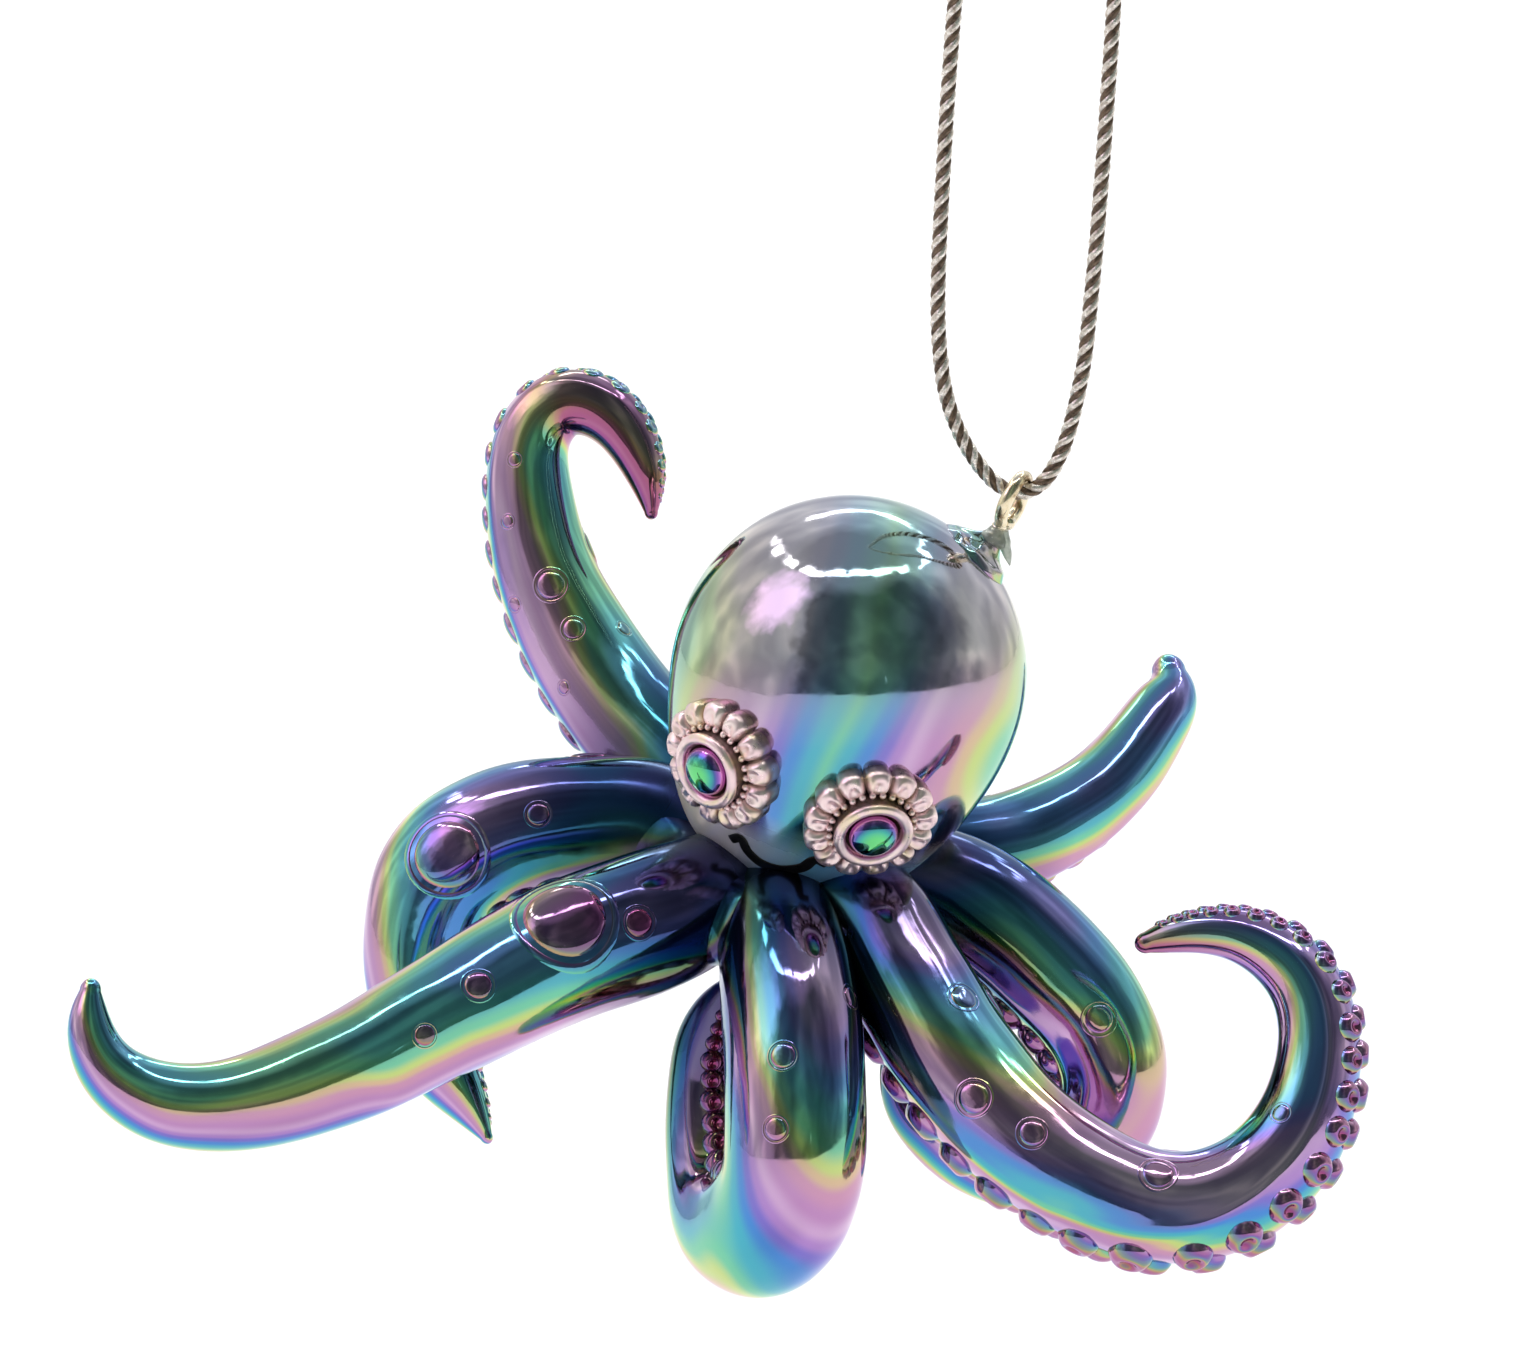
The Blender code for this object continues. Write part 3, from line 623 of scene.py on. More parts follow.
silver_thread = thread_material("champagne_thread", (0.46, 0.37, 0.29), (1.0, 0.95, 0.88), 0.8)
dark_thread = thread_material("umber_thread", (0.03, 0.018, 0.012), (0.22, 0.15, 0.10), 0.5)
gold_wire = wire_material()

# ---- cord
route_mm = spline(CORD_ROUTE, 12)
route = np.array([cord_point(x, h) for x, h in route_mm])
route = relax(even(route, 0.12 * MM), 6)


def strands(build, line, offset=0.26, radius=0.25, pitch=2.4):
    """Four twisted strands round a line: light, dark, light, dark. The measures are in mm."""
    _, side, across = frames(line, (0, 1, 0))
    for number in range(4):
        turn = 2 * math.pi * (lengths(line) / (pitch * MM) + number / 4)
        out = side * np.cos(turn)[:, None] + across * np.sin(turn)[:, None]
        centre = line + out * offset * MM
        fuller = 1.06 if number % 2 == 0 else 0.94
        rows = tube_rows(centre, np.full(len(centre), radius * MM * fuller), 8)
        build.grid(rows, slot=number % 2, cap_start=True, cap_end=True)


cord_build = Build()
strands(cord_build, route, 0.29, 0.27, 2.7)
cord = cord_build.object("twisted_cord", [silver_thread, dark_thread])
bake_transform(cord)
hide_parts("cord_upper_left", "cord_upper_right", "cord_lower")

knot_low = np.array(cord_point(*KNOT_LOW))
knot_high = np.array(cord_point(*KNOT_HIGH))
knot_mid = (knot_low + knot_high) / 2
knot_axis = (knot_high - knot_low) / np.linalg.norm(knot_high - knot_low)
knot_out = np.cross(knot_axis, (0, 1, 0))
knot_out *= math.copysign(1.0, knot_out[0])
knot_build = Build()
turn = circle(180)
trefoil = np.column_stack([
    np.sin(turn) + 2 * np.sin(2 * turn), np.cos(turn) - 2 * np.cos(2 * turn),
    -1.5 * np.sin(3 * turn),
]) * TREFOIL_SIZE * MM
trefoil = (knot_mid + trefoil[:, :1] * np.array([0, 1, 0]) + trefoil[:, 1:2] * knot_out
           + trefoil[:, 2:3] * knot_axis * 1.3)
strands(knot_build, np.vstack([trefoil, trefoil[:1]]))
for end in (knot_low, knot_high):
    strands(knot_build, np.linspace(end - (knot_mid - end) * 0.05, knot_mid, 24))
for spread in (-TAIL_SPREAD, TAIL_SPREAD):
    aim = knot_out * math.cos(spread) + knot_axis * math.sin(spread)
    drop = np.linspace(0, 1, 30)[:, None]
    sag = np.array([0, 0, -1.0]) * drop**2 * TAIL_SAG * MM
    strands(knot_build, knot_mid + aim * drop * TAIL_LENGTH * MM + sag)
knot = knot_build.object("tied_knot", [silver_thread, dark_thread])
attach(knot, "hanger")
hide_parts("cord_knot")


# ---- head
def smooth_profile(profile, step, sigma):
    """Rounds a half outline given as height and radius, keeping its ends on the axis."""
    outline = even(spline(profile, 16), step)
    mirrored = np.vstack([outline[:0:-1] * [1, -1], outline, outline[-2::-1] * [1, -1]])
    middle = relax(mirrored, sigma)[len(outline) - 1:2 * len(outline) - 1]
    middle[0, 1] = middle[-1, 1] = 0.02
    return middle


head_outline = smooth_profile(HEAD_PROFILE, 0.25, 6)


def head_radius_at(height):
    order = np.argsort(head_outline[:, 0])
    return float(np.interp(height, head_outline[order, 0], head_outline[order, 1]))


def hammered(rows, centre, amount, scale, seed):
    """Moves rows along their outward direction by a slow wobble."""
    outward = rows - np.asarray(centre)
    outward /= np.linalg.norm(outward, axis=-1)[..., None]
    return rows + outward * (wave(rows, scale * MM, seed) * amount * MM)[..., None]


head_rows = lathe_rows(head_outline[::-1], 192, head_centre, body_up, body_front)
head_rows = hammered(head_rows, head_centre, 0.05, 9.0, 5)
head = solid("head_skin", head_rows, head_skin)
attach(head, "octopus")
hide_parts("head")
head_tree = BVHTree.FromObject(head, bpy.context.evaluated_depsgraph_get())


# ---- arms
def arm_line(points):
    fine = spline(points, 24)
    places = np.array([octopus_point(*row[:3]) for row in fine])
    both = even(np.column_stack([places, fine[:, 3]]), 0.35 * MM)
    return relax(both, 3.5)


def arm_section(angle, weight):
    """Radius factor round an arm; angle 0 is the sucker side, flat between two soft keels."""
    turned = np.abs((angle + math.pi) % (2 * math.pi) - math.pi)
    flat = -0.07 * np.exp(-(turned / 0.6) ** 2)
    keel = 0.045 * np.exp(-((turned - 1.0) / 0.17) ** 2)
    return 1.0 + (flat + keel) * weight


# Height, radius, and how maroon it is, from the foot over the rim into the bowl; the deepest
# maroon, in the bowl, is painted shade
SUCKER_PROFILE = np.array([
    (-0.50, 1.26, 0.1), (-0.05, 1.20, 0.25), (0.14, 1.11, 0.45), (0.30, 1.00, 0.6),
    (0.44, 0.87, 0.6), (0.54, 0.73, 0.5), (0.57, 0.60, 0.5), (0.53, 0.48, 0.7),
    (0.43, 0.36, 0.9), (0.33, 0.23, 1.0), (0.29, 0.04, 1.0),
])
# Radius, height, and how maroon it is, from a blister's top to the edge of the lip round its
# groove; where that is None, it is the blister's own tint. The dark maroon in the groove is painted
# shade.
BLISTER_PROFILE = [
    (0.02, 0.15, None), (0.2, 0.145, None), (0.4, 0.14, None), (0.58, 0.125, None),
    (0.72, 0.10, None), (0.82, 0.07, None), (0.89, 0.03, 0.6), (0.94, -0.05, 1.0),
    (0.99, -0.05, 1.0), (1.05, 0.012, 0.5), (1.12, 0.02, 0.1), (1.2, 0.008, 0.0), (1.3, -0.05, 0.0),
]


def add_suckers(build, line, radii, side, across, name):
    size, rise, tint = SUCKERS[name]
    along = lengths(line) / MM
    angle = circle(20)
    rng = np.random.default_rng(len(line))
    for row, sign in enumerate((-1, 1)):
        place = SUCKERS_FROM
        step = 0
        while place < along[-1] - 0.8:
            radius = float(np.interp(place, along, radii))
            sucker = size * radius * rng.uniform(0.92, 1.08)
            if row and not step:
                place += sucker
            centre, down, over = (np.array([np.interp(place, along, column) for column in values.T])
                                  for values in (line, side, across))
            lean = sign * math.asin(min(0.9, size * 1.12))
            out = down * math.cos(lean) + over * math.sin(lean)
            out /= np.linalg.norm(out)
            flat = np.cross(out, over)
            flat /= np.linalg.norm(flat)
            shape = SUCKER_PROFILE[:, :2] * [rise, 1.0] * sucker * MM
            shape[0, 0] = -0.5 * sucker * MM
            height, width = shape.T[..., None, None]
            foot = centre + out * radius * MM * 0.965
            rows = foot + out * height + ring_about(angle, flat, np.cross(out, flat)) * width
            build.tone = float(np.interp(place / along[-1], FILM_PLACES, FILM_SHIFT[name]))
            build.grid(rows, cap_end=True)
            # Maroon by the profile's third column; its darkest part, in the bowl, is painted shade
            build.kinds[-1] = np.repeat(SUCKER_PROFILE[:, 2] * tint, len(angle))
            place += sucker * SUCKER_SPACING
            step += 1


def add_dome(build, tree, spot, normal, radius, tint):
    """A blister: a low cap in a round groove with a soft lip, following the surface under it."""
    hint = Vector((0, 0, 1)) if abs(normal.z) < 0.9 else Vector((1, 0, 0))
    x = normal.cross(hint).normalized()
    y = normal.cross(x)
    sides = 40
    rows = np.zeros((len(BLISTER_PROFILE), sides, 3))
    for i, (share, height, _) in enumerate(BLISTER_PROFILE):
        for j in range(sides):
            angle = 2 * math.pi * j / sides
            flat = spot + (x * math.cos(angle) + y * math.sin(angle)) * radius * share * MM
            hit, facing, _, _ = tree.ray_cast(flat + normal * 3 * MM, -normal, 8 * MM)
            if hit is None:
                hit, facing = flat, normal
            rows[i, j] = hit + (facing * 0.5 + normal * 0.5).normalized() * height * radius * MM
    build.grid(rows[::-1], cap_end=True)
    # The groove's dark maroon is painted shade; the cap keeps the blister's own tint
    shade = [tint if maroon is None else maroon for _, _, maroon in BLISTER_PROFILE]
    build.kinds[-1] = np.repeat(shade[::-1], sides)


def make_arm(name, points, number):
    line4 = arm_line(points)
    line, radii = line4[:, :3], line4[:, 3]
    tangent, side, across = frames(line, -np.asarray(body_up))
    first_turn, last_turn = SUCKER_TURN.get(name, (0.0, 0.0))
    twist = np.interp(np.linspace(0, 1, len(line)), [0.05, 0.3, 0.42, 0.62],
                      [0, first_turn, first_turn, last_turn])
    cosine, sine = np.cos(np.radians(twist))[:, None], np.sin(np.radians(twist))[:, None]
    side, across = side * cosine + across * sine, across * cosine - side * sine
    tip = radii[-1]
    cap = np.linspace(0.0, math.pi / 2, TIP_RINGS + 1)[1:]
    cap_line = line[-1] + tangent[-1] * np.sin(cap)[:, None] * tip * 1.15 * MM
    full_line = np.vstack([line, cap_line])
    full_radii = np.concatenate([radii, tip * np.maximum(np.cos(cap), 0.02)])
    full_side = np.vstack([side, np.repeat(side[-1:], TIP_RINGS, axis=0)])
    full_across = np.vstack([across, np.repeat(across[-1:], TIP_RINGS, axis=0)])
    angle = circle(ARM_SIDES)
    share = np.linspace(0, 1, len(full_line))
    weight = np.clip(share / 0.15, 0, 1) * np.clip((0.97 - share) / 0.25, 0, 1)
    factor = arm_section(angle[None, :], weight[:, None])
    ring = ring_about(angle, full_side, full_across)
    rows = full_line[:, None, :] + ring * (full_radii[:, None] * factor)[..., None] * MM
    wobble = wave(rows, 7.0 * MM, 20 + number) * 0.07 * MM
    rows = rows + ring * (wobble * np.clip(full_radii / 3.0, 0.2, 1)[:, None])[..., None]
    plain = solid("plain", rows)
    tree = BVHTree.FromObject(plain, bpy.context.evaluated_depsgraph_get())
    bpy.data.objects.remove(plain)
    build = Build()
    build.grid(rows, cap_start=True, cap_end=True)
    film = np.interp(share, FILM_PLACES, FILM_SHIFT[name])
    build.tones[-1] = np.repeat(film, ARM_SIDES)
    if name in MAROON_FROM:
        begin, full = MAROON_FROM[name]
        turning = np.clip((share - begin) / (full - begin), 0, 1)
        build.kinds[-1] = np.repeat(0.85 * turning, ARM_SIDES)
    add_suckers(build, line, radii, side, across, name)
    for place_across, place_up, radius in DOMES[name]:
        start = octopus_point(place_across, place_up, FAR_OUT)
        hit, facing, _, _ = tree.ray_cast(start, -VIEW_DIRECTION)
        if hit is not None:
            build.tone = film[np.linalg.norm(full_line - np.asarray(hit), axis=1).argmin()]
            add_dome(build, tree, hit, facing, radius, BLISTER_TINT.get(name, PLAIN_TINT))
    # A few more at random places, out of sight from the front
    rng = np.random.default_rng(70 + number)
    for share_along in (0.22, 0.36, 0.52, 0.66):
        at = int(share_along * len(line))
        lean = rng.uniform(-0.9, 0.9)
        out = Vector(-side[at] * math.cos(lean) + across[at] * math.sin(lean))
        if out.dot(VIEW_DIRECTION) < -0.15:
            hit, facing, _, _ = tree.ray_cast(Vector(line[at]) + out * 12 * MM, -out)
            if hit is not None:
                build.tone = film[at]
                radius = float(radii[at] * rng.uniform(0.2, 0.5))
                add_dome(build, tree, hit, facing, radius, PLAIN_TINT)
    arm = build.object(f"{name}_skin", [skin])
    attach(arm, "octopus")
    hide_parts(name)
    return line, radii


arm_lines = {}
for number, (arm_name, arm_points) in enumerate(ARMS.items()):
    arm_lines[arm_name] = make_arm(arm_name, arm_points, number)


# ---- web between the arm roots
def smooth_min(a, b, k):
    h = np.clip(0.5 + 0.5 * (b - a) / k, 0, 1)
    return b * (1 - h) + a * h - k * h * (1 - h)


hub = np.asarray(hub_centre)
up = np.asarray(body_up)
hub_axes = np.array([np.asarray(body_right), np.asarray(body_front), up])
arm_samples = []
for line, radii in arm_lines.values():
    near = np.linalg.norm(line - hub, axis=1) < WEB_REACH * MM
    arm_samples.append((line[near][::2], radii[near][::2]))


def web_distance(points):
    """Signed distance in mm to the web, head and arm roots run together with soft fillets."""
    local = (points - hub) @ hub_axes.T / MM
    scale = np.array([HUB_RADIUS, HUB_RADIUS, HUB_HALF_HEIGHT])
    size = np.linalg.norm(local / scale, axis=1)
    slope = np.linalg.norm(local / scale**2, axis=1)
    total = size * (size - 1.0) / np.maximum(slope, 1e-6)
    offset = (points - np.asarray(head_centre)) / MM
    height = offset @ up
    flat = np.linalg.norm(offset - height[:, None] * up, axis=1)
    half = np.column_stack([height, flat])
    gaps = np.linalg.norm(half[:, None, :] - head_outline[None, ::2, :], axis=2)
    nearest = gaps.argmin(axis=1)
    inside = flat < np.interp(height, head_outline[::-1, 0], head_outline[::-1, 1], left=0, right=0)
    head_gap = gaps[np.arange(len(points)), nearest] * np.where(inside, -1, 1)
    total = smooth_min(total, head_gap + 0.3, 0.4)
    for line, radii in arm_samples:
        gap = np.linalg.norm(points[:, None, :] - line[None], axis=2) / MM - radii[None]
        total = smooth_min(total, gap.min(axis=1), 2.0)
    return -smooth_min(-total, -(height + WEB_TOP), 0.6)


web_sides, web_rings = 240, 120
theta = np.linspace(0.001, math.pi - 0.001, web_rings)[:, None]
phi = circle(web_sides)[None, :]
local = np.stack([np.sin(theta) * np.cos(phi), np.sin(theta) * np.sin(phi),
                  np.cos(theta) * np.ones_like(phi)], axis=-1)
directions = local.reshape(-1, 3) @ hub_axes
# Each direction's reach steps towards the surface, from the hub out
reach = np.full(len(directions), 2.5)
for _ in range(26):
    gap = web_distance(hub + directions * (reach * MM)[:, None]) + 0.18
    reach = np.clip(reach - np.clip(gap, -1.5, 1.5) * 0.8, 2.0, WEB_LIMIT)
web_rows = (hub + directions * (reach * MM)[:, None]).reshape(web_rings, web_sides, 3)
web = solid("web_skin", web_rows[::-1], skin)
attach(web, "octopus")
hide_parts("web_collar")


# ---- eyes
def make_eye(side, azimuth):
    radial = body_front * math.cos(azimuth) + body_right * math.sin(azimuth)
    toward = radial * math.cos(EYE_DIP) - body_up * math.sin(EYE_DIP)
    seat = head_centre + (radial * (head_radius_at(-EYE_DROP) - EYE_SINK) - body_up * EYE_DROP) * MM
    z = np.asarray(toward)
    y = np.asarray(toward.cross(body_up).normalized())
    x = np.cross(y, z)
    steps = PETALS * 24
    angle = circle(steps)
    petal = np.mod(angle * PETALS / (2 * math.pi), 1.0) * 2 - 1
    round_off = np.sqrt(np.clip(1 - np.abs(petal) ** 2.4, 0.0, 1))
    edge = PETAL_ROOT + PETAL_DEPTH * round_off
    inner = 2.95
    levels = np.concatenate([[0.0], np.linspace(0.0, 1.0, 22)])
    rows, petal_shade = [], []
    for i, level in enumerate(levels):
        radius = inner + (edge - inner) * level
        swell = math.sin(math.pi * min(1.0, 0.10 + 0.84 * level)) ** 0.55
        height = 0.62 + 0.98 * round_off**0.8 * swell
        dimple = 0.30 * np.exp(-((petal / 0.36) ** 2) - ((level - 0.50) / 0.26) ** 2)
        lip = 0.10 * np.exp(-((np.abs(petal) - 0.55) / 0.16) ** 2) * math.sin(math.pi * level)
        height = height - dimple + lip
        if i == 0:
            height = height * 0 + 0.2
        rows.append(np.column_stack([radius * np.cos(angle), radius * np.sin(angle), height]))
        # Painted shade: darker between the petals, at their inner edge and on the skirt under them
        petal_shade.append(np.clip(1.15 - round_off * 1.5, 0, 1) * 0.9 + 0.55 * (level < 0.12))
    for drop, spread in ((0.55, 1.0), (0.2, 0.99), (-0.4, 0.97), (-1.0, 0.95)):
        skirt = edge * spread
        rows.append(np.column_stack([skirt * np.cos(angle), skirt * np.sin(angle),
                                     np.full(steps, drop)]))
        petal_shade.append(np.full(steps, 0.35 if drop > 0 else 0.7))
    rows = np.array(rows)
    placed = (rows[..., :1] * x + rows[..., 1:2] * y + rows[..., 2:] * z) * MM + np.asarray(seat)
    build = Build()
    build.grid(placed[::-1])
    build.kinds[-1] = np.array(petal_shade)[::-1].clip(0, 1).reshape(-1)
    bead_profile = np.array([(-0.2, 0.20), (0.0, 0.26), (0.14, 0.22), (0.23, 0.13), (0.26, 0.01)])
    for bead in range(BEADS):
        turn = 2 * math.pi * (bead + 0.5) / BEADS
        around = (x * math.cos(turn) + y * math.sin(turn)) * BEAD_CIRCLE * MM
        centre = np.asarray(seat) + around + z * 1.30 * MM
        build.grid(lathe_rows(bead_profile, 12, centre, toward, body_up), cap_end=True)
    bezel = build.object(f"flower_setting_{side}", [setting_metal])
    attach(bezel, "octopus")
    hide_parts(f"eye_bezel_{side}")

    turns = np.linspace(-0.2, math.pi + 0.1, 17)
    rim = [(2.10 + 0.36 * math.sin(a), 2.43 + 0.40 * math.cos(a)) for a in turns]
    outline = [(-0.8, 2.72), (0.4, 2.72), (1.1, 2.70), (1.55, 2.66), (1.8, 2.70)] + rim
    outline += [(2.02, 1.98), (1.86, 1.90), (1.72, 1.86), (1.66, 0.05)]
    cup_build = Build()
    cup_build.grid(lathe_rows(outline, 72, seat, toward, body_up), cap_start=True, cap_end=True)
    # Painted shade: the cup is darkened at its foot, a little above that, and inside round the
    # stone
    dark = np.zeros((len(outline), 72))
    dark[:3] = 0.6
    dark[3:5] = 0.2
    dark[-3:] = 0.8
    cup_build.kinds[-1] = dark.reshape(-1)
    cup = cup_build.object(f"stone_cup_{side}", [setting_metal])
    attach(cup, "octopus")
    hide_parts(f"eye_cup_{side}")

    dome = [(1.75, 0.02), (1.75, 1.72), (2.02, STONE_RADIUS)]
    dome += [(2.02 + 1.22 * math.sin(a), STONE_RADIUS * math.cos(a))
             for a in np.linspace(0.05, math.pi / 2 - 0.02, 26)]
    gem_rows = lathe_rows(dome, 72, seat, toward, body_up)
    gem = solid(f"domed_stone_{side}", gem_rows, stone_material(side, toward))
    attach(gem, "octopus")
    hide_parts(f"eye_gem_{side}")


make_eye("left", FACE_TURN - EYE_AZIMUTH)
make_eye("right", FACE_TURN + EYE_AZIMUTH)

# ---- smile
enamel, enamel_tree, enamel_shader = node_material("black_enamel")
enamel_tone = noise_node(enamel_tree, coordinates(enamel_tree), 1200.0, 2.0, 0.5)
paint(enamel_tree, enamel_shader,
      ramp_node(enamel_tree, enamel_tone, [(0.3, (0.002,) * 3), (0.8, (0.006, 0.006, 0.007))]),
      ramp_node(enamel_tree, enamel_tone, greys((0.3, 0.30), (0.8, 0.50))))
enamel_shader.inputs["Specular IOR Level"].default_value = 0.25
smile_path = even(spline(SMILE, 12), 0.12)
on_face, face_out = [], []
for across_mm, up_mm in smile_path:
    start = octopus_point(across_mm, up_mm, FAR_OUT)
    hit, facing, _, _ = head_tree.ray_cast(start, -VIEW_DIRECTION)
    if hit is not None:
        on_face.append(hit)
        face_out.append(facing)
on_face = np.array(on_face)
face_out = np.array(face_out)
tangent = np.gradient(on_face, axis=0)
tangent /= np.linalg.norm(tangent, axis=1)[:, None]
wide = np.cross(face_out, tangent)
share = np.linspace(0, 1, len(on_face))
width = (0.36 + 0.16 * np.sin(math.pi * share)) * MM
angle = circle(14)
flat = wide[:, None, :] * (np.cos(angle)[None, :] * width[:, None])[..., None]
swell = face_out[:, None, :] * (np.sin(angle)[None, :, None] * 0.07 * MM + 0.02 * MM)
smile_rows = on_face[:, None, :] + flat + swell
smile = solid("painted_smile", smile_rows, enamel)
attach(smile, "octopus")

# ---- screw eye, boss and glue
outward = np.asarray(VIEW_DIRECTION)
ring_up = np.asarray(board_direction((math.sin(RING_LEAN), math.cos(RING_LEAN), 0.0)))
ring_side = np.asarray(board_direction((math.cos(RING_LEAN), -math.sin(RING_LEAN), 0.0)))
ring_out = outward * math.cos(RING_TURN) - ring_side * math.sin(RING_TURN)
ring_axis = ring_side * math.cos(RING_TURN) + outward * math.sin(RING_TURN)
ring_centre = np.asarray(board(0, 0, 0)) - ring_up * CORD_SEAT * MM
shank_foot = ring_centre - ring_up * (RING_RADIUS + SHANK) * MM
sweep = np.linspace(math.radians(-78), math.radians(262), 96)
loop = np.outer(np.cos(sweep), ring_out) + np.outer(np.sin(sweep), ring_up)
loop = ring_centre + loop * RING_RADIUS * MM
loop = loop + np.outer(np.linspace(-0.1, 0.35, 96) ** 3 * 8.0, ring_axis) * MM
rise = ring_centre - ring_up * RING_RADIUS * MM
lead = np.linspace(shank_foot, rise - ring_up * 0.35 * MM, 16)[:-1]
wire_line = relax(even(np.vstack([lead, loop]), WIRE_STEP * MM), 3)
wire_radii = np.full(len(wire_line), WIRE_RADIUS * MM)
along = np.arange(len(wire_line)) * WIRE_STEP
# The thread of the screw, on the shank only
wire_radii *= 1 + 0.12 * np.sin(along * 2 * math.pi / 0.45) * (along < 1.25)
wire_radii[-3:] *= [0.96, 0.85, 0.6]
wire = solid("bent_screw_eye", tube_rows(wire_line, wire_radii, 20, (1, 0, 0)), gold_wire)
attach(wire, "octopus")
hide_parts("screw_eye")

boss_outline = [
    (-0.10, 0.02), (-0.12, 0.40), (-0.30, 0.75), (-0.65, 1.10), (-1.00, 1.48), (-1.30, 1.95),
    (-1.55, 2.5), (-2.2, 2.7), (-2.2, 0.02),
]
boss_top = Vector(ring_centre - ring_up * (RING_RADIUS + 1.0) * MM)
boss_axis = (boss_top - head_centre).normalized()
boss_top = boss_top - boss_axis * 0.1 * MM
boss_profile = even(spline(boss_outline, 8), 0.1)[::-1]
boss_rows = lathe_rows(boss_profile, 72, boss_top, boss_axis, VIEW_DIRECTION)
boss_rows = hammered(boss_rows, boss_top - boss_axis * 2.5 * MM, 0.20, 1.7, 31)
boss = solid("hook_mound", boss_rows, head_skin)
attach(boss, "octopus")
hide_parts("hook_boss")

glue_material, glue_tree, glue_shader = node_material("hardened_glue")
glue_cloud = noise_node(glue_tree, coordinates(glue_tree), 1400.0, 3.0, 0.6)
paint(glue_tree, glue_shader,
      ramp_node(glue_tree, glue_cloud, [(0.3, (0.40, 0.44, 0.36)), (0.7, (0.80, 0.86, 0.78))]),
      ramp_node(glue_tree, glue_cloud, greys((0.3, 0.12), (0.8, 0.35))))
glue_shader.inputs["Transmission Weight"].default_value = 0.6
bump(glue_tree, glue_shader, glue_cloud, 0.5, 0.0002)
glue_build = Build()
bead_line = np.linspace(shank_foot + ring_up * 0.75 * MM, shank_foot - ring_up * 0.55 * MM, 14)
bead_radii = np.array([0.50, 0.58, 0.64, 0.70, 0.77, 0.84, 0.90, 0.96, 1.0, 1.02, 1.0, 0.9, 0.7,
                       0.3])
bead_rows = tube_rows(bead_line, bead_radii * MM, 32, (1, 0, 0))
bead_rows = hammered(bead_rows, shank_foot, 0.16, 1.1, 12)
glue_build.grid(bead_rows, cap_start=True, cap_end=True)
shard_line = spline([tuple(board(*place)) for place in (
    (-0.95, -2.55, 0.1), (-0.85, -3.3, 0.15), (-0.62, -4.2, 0.1), (-0.43, -5.05, 0.0))], 6)
shard_wide = np.interp(np.linspace(0, 1, len(shard_line)),
                       [0, 0.35, 0.75, 1], [0.42, 0.50, 0.30, 0.04])
shard_ring = ring_about(circle(16), np.array([1.0, 0, 0]), np.array([0, 0.45, 0]))
shard_rows = shard_line[:, None, :] + shard_ring * shard_wide[:, None, None] * MM
shard_rows = hammered(shard_rows, shank_foot, 0.06, 0.9, 14)
glue_build.grid(shard_rows, cap_start=True, cap_end=True)
glue = glue_build.object("glue_bead", [glue_material])
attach(glue, "octopus")

# ---- floor and light
FLOOR_HEIGHT = -0.165
floor_material, _, floor_shader = node_material("pale_floor")
floor_shader.inputs["Base Color"].default_value = (0.92, 0.92, 0.92, 1.0)
floor_shader.inputs["Roughness"].default_value = 0.9
floor_build = Build()
rim = ring_about(circle(96), np.array([1.0, 0, 0]), np.array([0, 1.0, 0]))
disc = np.array([rim * radius + (0.0, 0.4, FLOOR_HEIGHT) for radius in (0.01, 0.5, 1.7)])
floor_build.grid(disc, cap_start=True)
floor = floor_build.object("floor", [floor_material])

world = bpy.data.worlds.new("studio")
bpy.context.scene.world = world
world.use_nodes = True
sky = world.node_tree
background = sky.nodes["Background"]
aim = coordinates(sky, "Generated")
wobble = math_node(sky, "SUBTRACT", noise_node(sky, aim, 3.2, 3.0, 0.5), 0.5)
axes = axes_node(sky, aim)
# Azimuth from 0 to 1, with 0.5 in front of the octopus, and larger to the right of that view
azimuth = math_node(sky, "ARCTAN2", axes["X"], math_node(sky, "MULTIPLY", axes["Y"], -1.0))
azimuth = math_node(sky, "ADD", math_node(sky, "MULTIPLY", azimuth, 0.5 / math.pi), 0.5)
azimuth = math_node(sky, "ADD", azimuth, math_node(sky, "MULTIPLY", wobble, 0.10))
room = ramp_node(sky, azimuth, [
    (0.00, (0.92, 0.94, 0.96)), (0.22, (0.82, 0.84, 0.80)), (0.30, (0.78, 0.80, 0.74)),
    (0.345, (0.66, 0.68, 0.66)), (0.385, (0.50, 0.52, 0.52)), (0.405, (0.17, 0.18, 0.18)),
    (0.47, (0.12, 0.15, 0.15)), (0.53, (0.19, 0.25, 0.20)), (0.60, (0.10, 0.15, 0.12)),
    (0.68, (0.12, 0.14, 0.15)), (0.72, (0.24, 0.26, 0.28)), (0.745, (0.40, 0.42, 0.40)),
    (0.77, (0.76, 0.80, 0.72)), (0.90, (0.92, 0.94, 0.96)),
])
patches = noise_node(sky, aim, 3.0, 1.5, 0.5, 0.3)
room = mix_colour(sky, 1.0, room, ramp_node(sky, patches, [
    (0.36, (0.70, 0.70, 0.74)), (0.47, (0.88, 0.88, 0.90)), (0.53, (1.0, 1.0, 1.0)),
    (0.66, (1.4, 1.35, 1.3)),
]), "MULTIPLY")
height = math_node(sky, "ADD", axes["Z"], math_node(sky, "MULTIPLY", wobble, 0.12))
ceiling = ramp_node(sky, height, greys((0.84, 0), (0.93, 1)))
lit = mix_colour(sky, ceiling, room, (0.42, 0.43, 0.45))
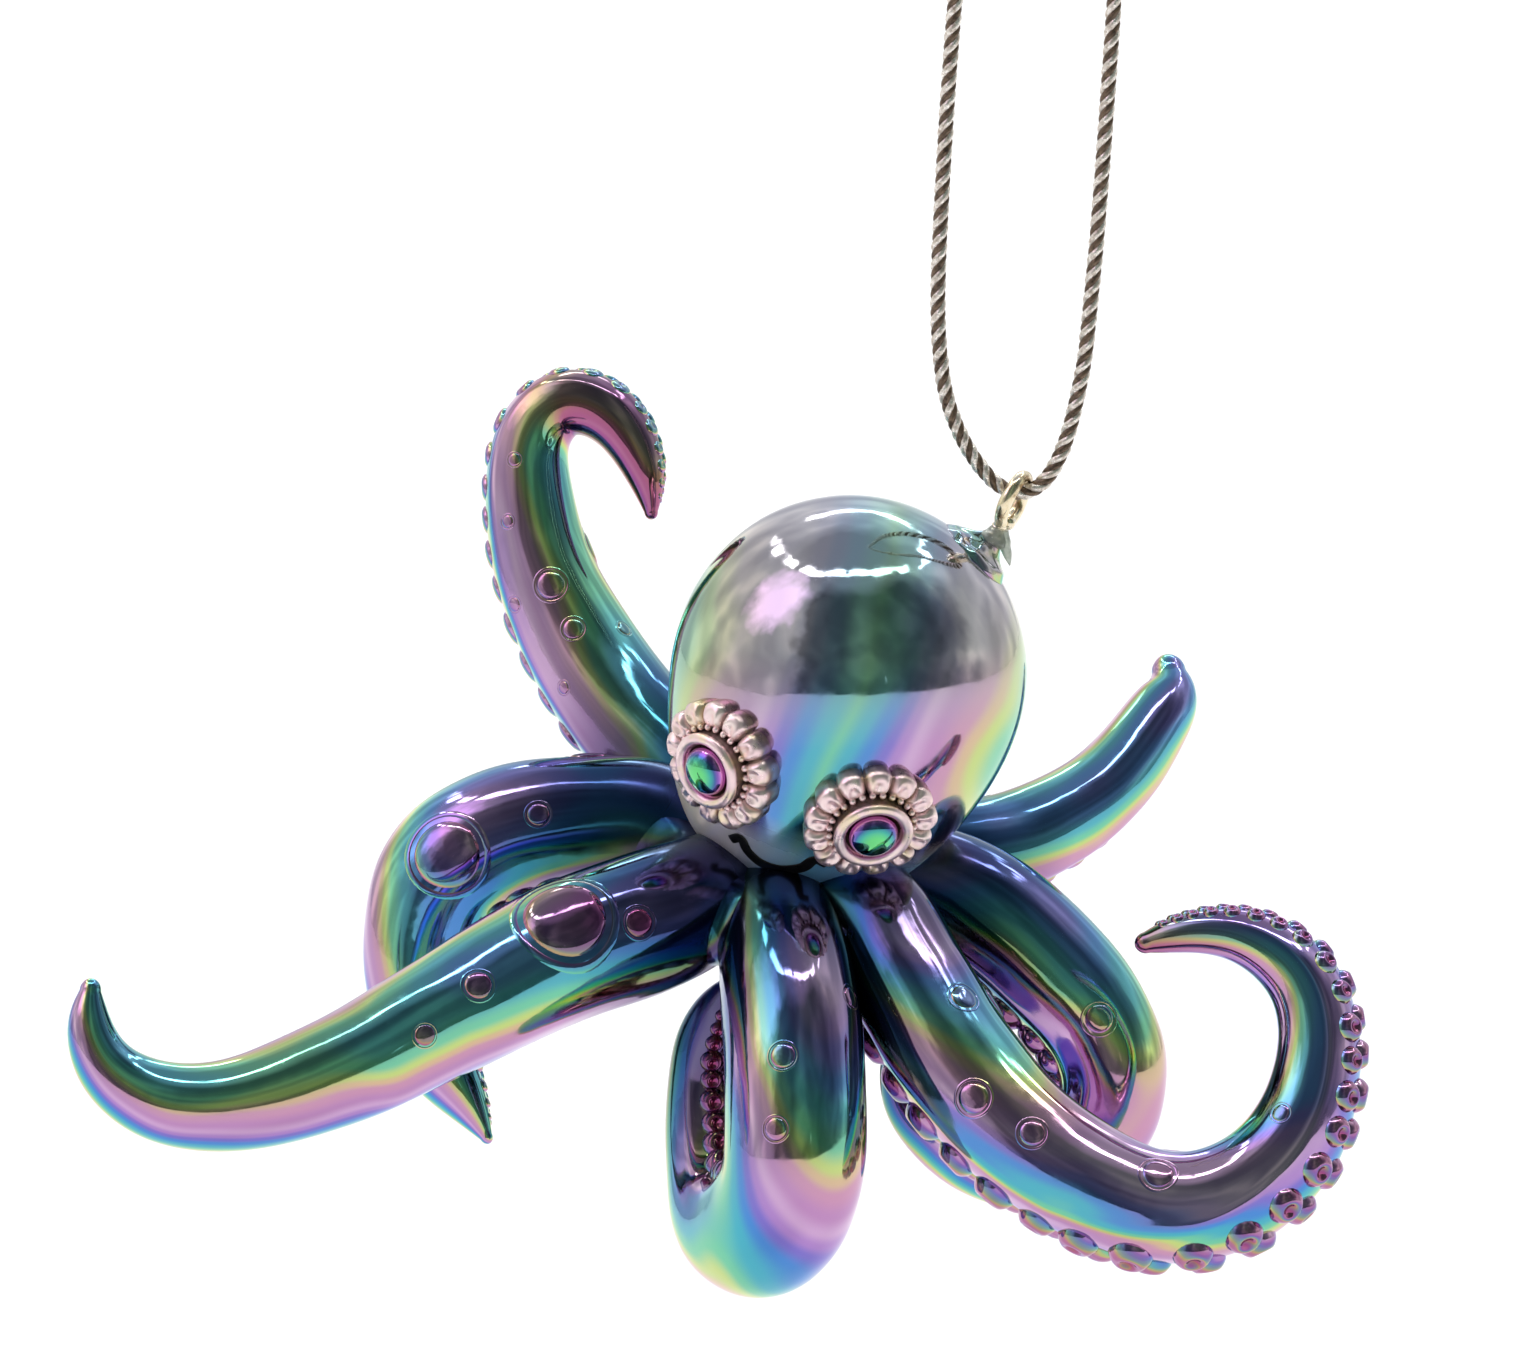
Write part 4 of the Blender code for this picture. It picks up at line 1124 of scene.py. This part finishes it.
# A ring of lamps overhead, broken into short runs
lamp_reach = vector_node(sky, "DOT_PRODUCT", aim, Vector((0.02, 0.333, 0.943)).normalized())
lamp_reach = math_node(sky, "ADD", lamp_reach, math_node(sky, "MULTIPLY", wobble, 0.10))
lamp = ramp_node(sky, lamp_reach, greys((0.824, 0), (0.836, 1), (0.862, 1), (0.874, 0)))
gaps = ramp_node(sky, noise_node(sky, aim, 5.5, 1.0, 0.5), greys((0.42, 0), (0.50, 1)))
lamp = mix_colour(sky, 1.0, lamp, gaps, "MULTIPLY")
lit = mix_colour(sky, lamp, lit, (9.0, 9.0, 8.6))
# The soft glow of a window, high on the left
window_reach = vector_node(sky, "DOT_PRODUCT", aim, Vector((-0.685, -0.21, 0.70)).normalized())
window_edge = math_node(sky, "SUBTRACT", noise_node(sky, aim, 7.0, 3.0, 0.6), 0.5)
window_edge = math_node(sky, "MULTIPLY", window_edge, 0.10)
window_reach = math_node(sky, "ADD", window_reach, window_edge)
window = ramp_node(sky, window_reach, greys((0.93, 0), (0.985, 1)))
lit = mix_colour(sky, window, lit, (2.2, 1.7, 2.2))
# What is seen past the octopus is plain white
path_info = sky.nodes.new("ShaderNodeLightPath")
lit = mix_colour(sky, path_info.outputs["Is Camera Ray"], lit, (1.0, 1.0, 1.0))
sky.links.new(lit, background.inputs["Color"])
background.inputs["Strength"].default_value = 1.0


def area(name, place, size, power, aim):
    data = bpy.data.lights.new(name, "AREA")
    data.shape = "RECTANGLE"
    data.size, data.size_y = size
    data.energy = power
    item = bpy.data.objects.new(name, data)
    item.location = place
    item.rotation_euler = (Vector(aim) - Vector(place)).to_track_quat("-Z", "Y").to_euler()
    item.visible_camera = False
    bpy.context.scene.collection.objects.link(item)
    return item


softbox = area("overhead_softbox", (0.2, 0.75, 1.2), (0.9, 0.6), 9.0, (0.0, 0.5, FLOOR_HEIGHT))
softbox.visible_glossy = False
area("right_bar", (0.36, -0.86, 0.02), (0.012, 0.06), 0.0016, (-0.018, 0.0, -0.065))
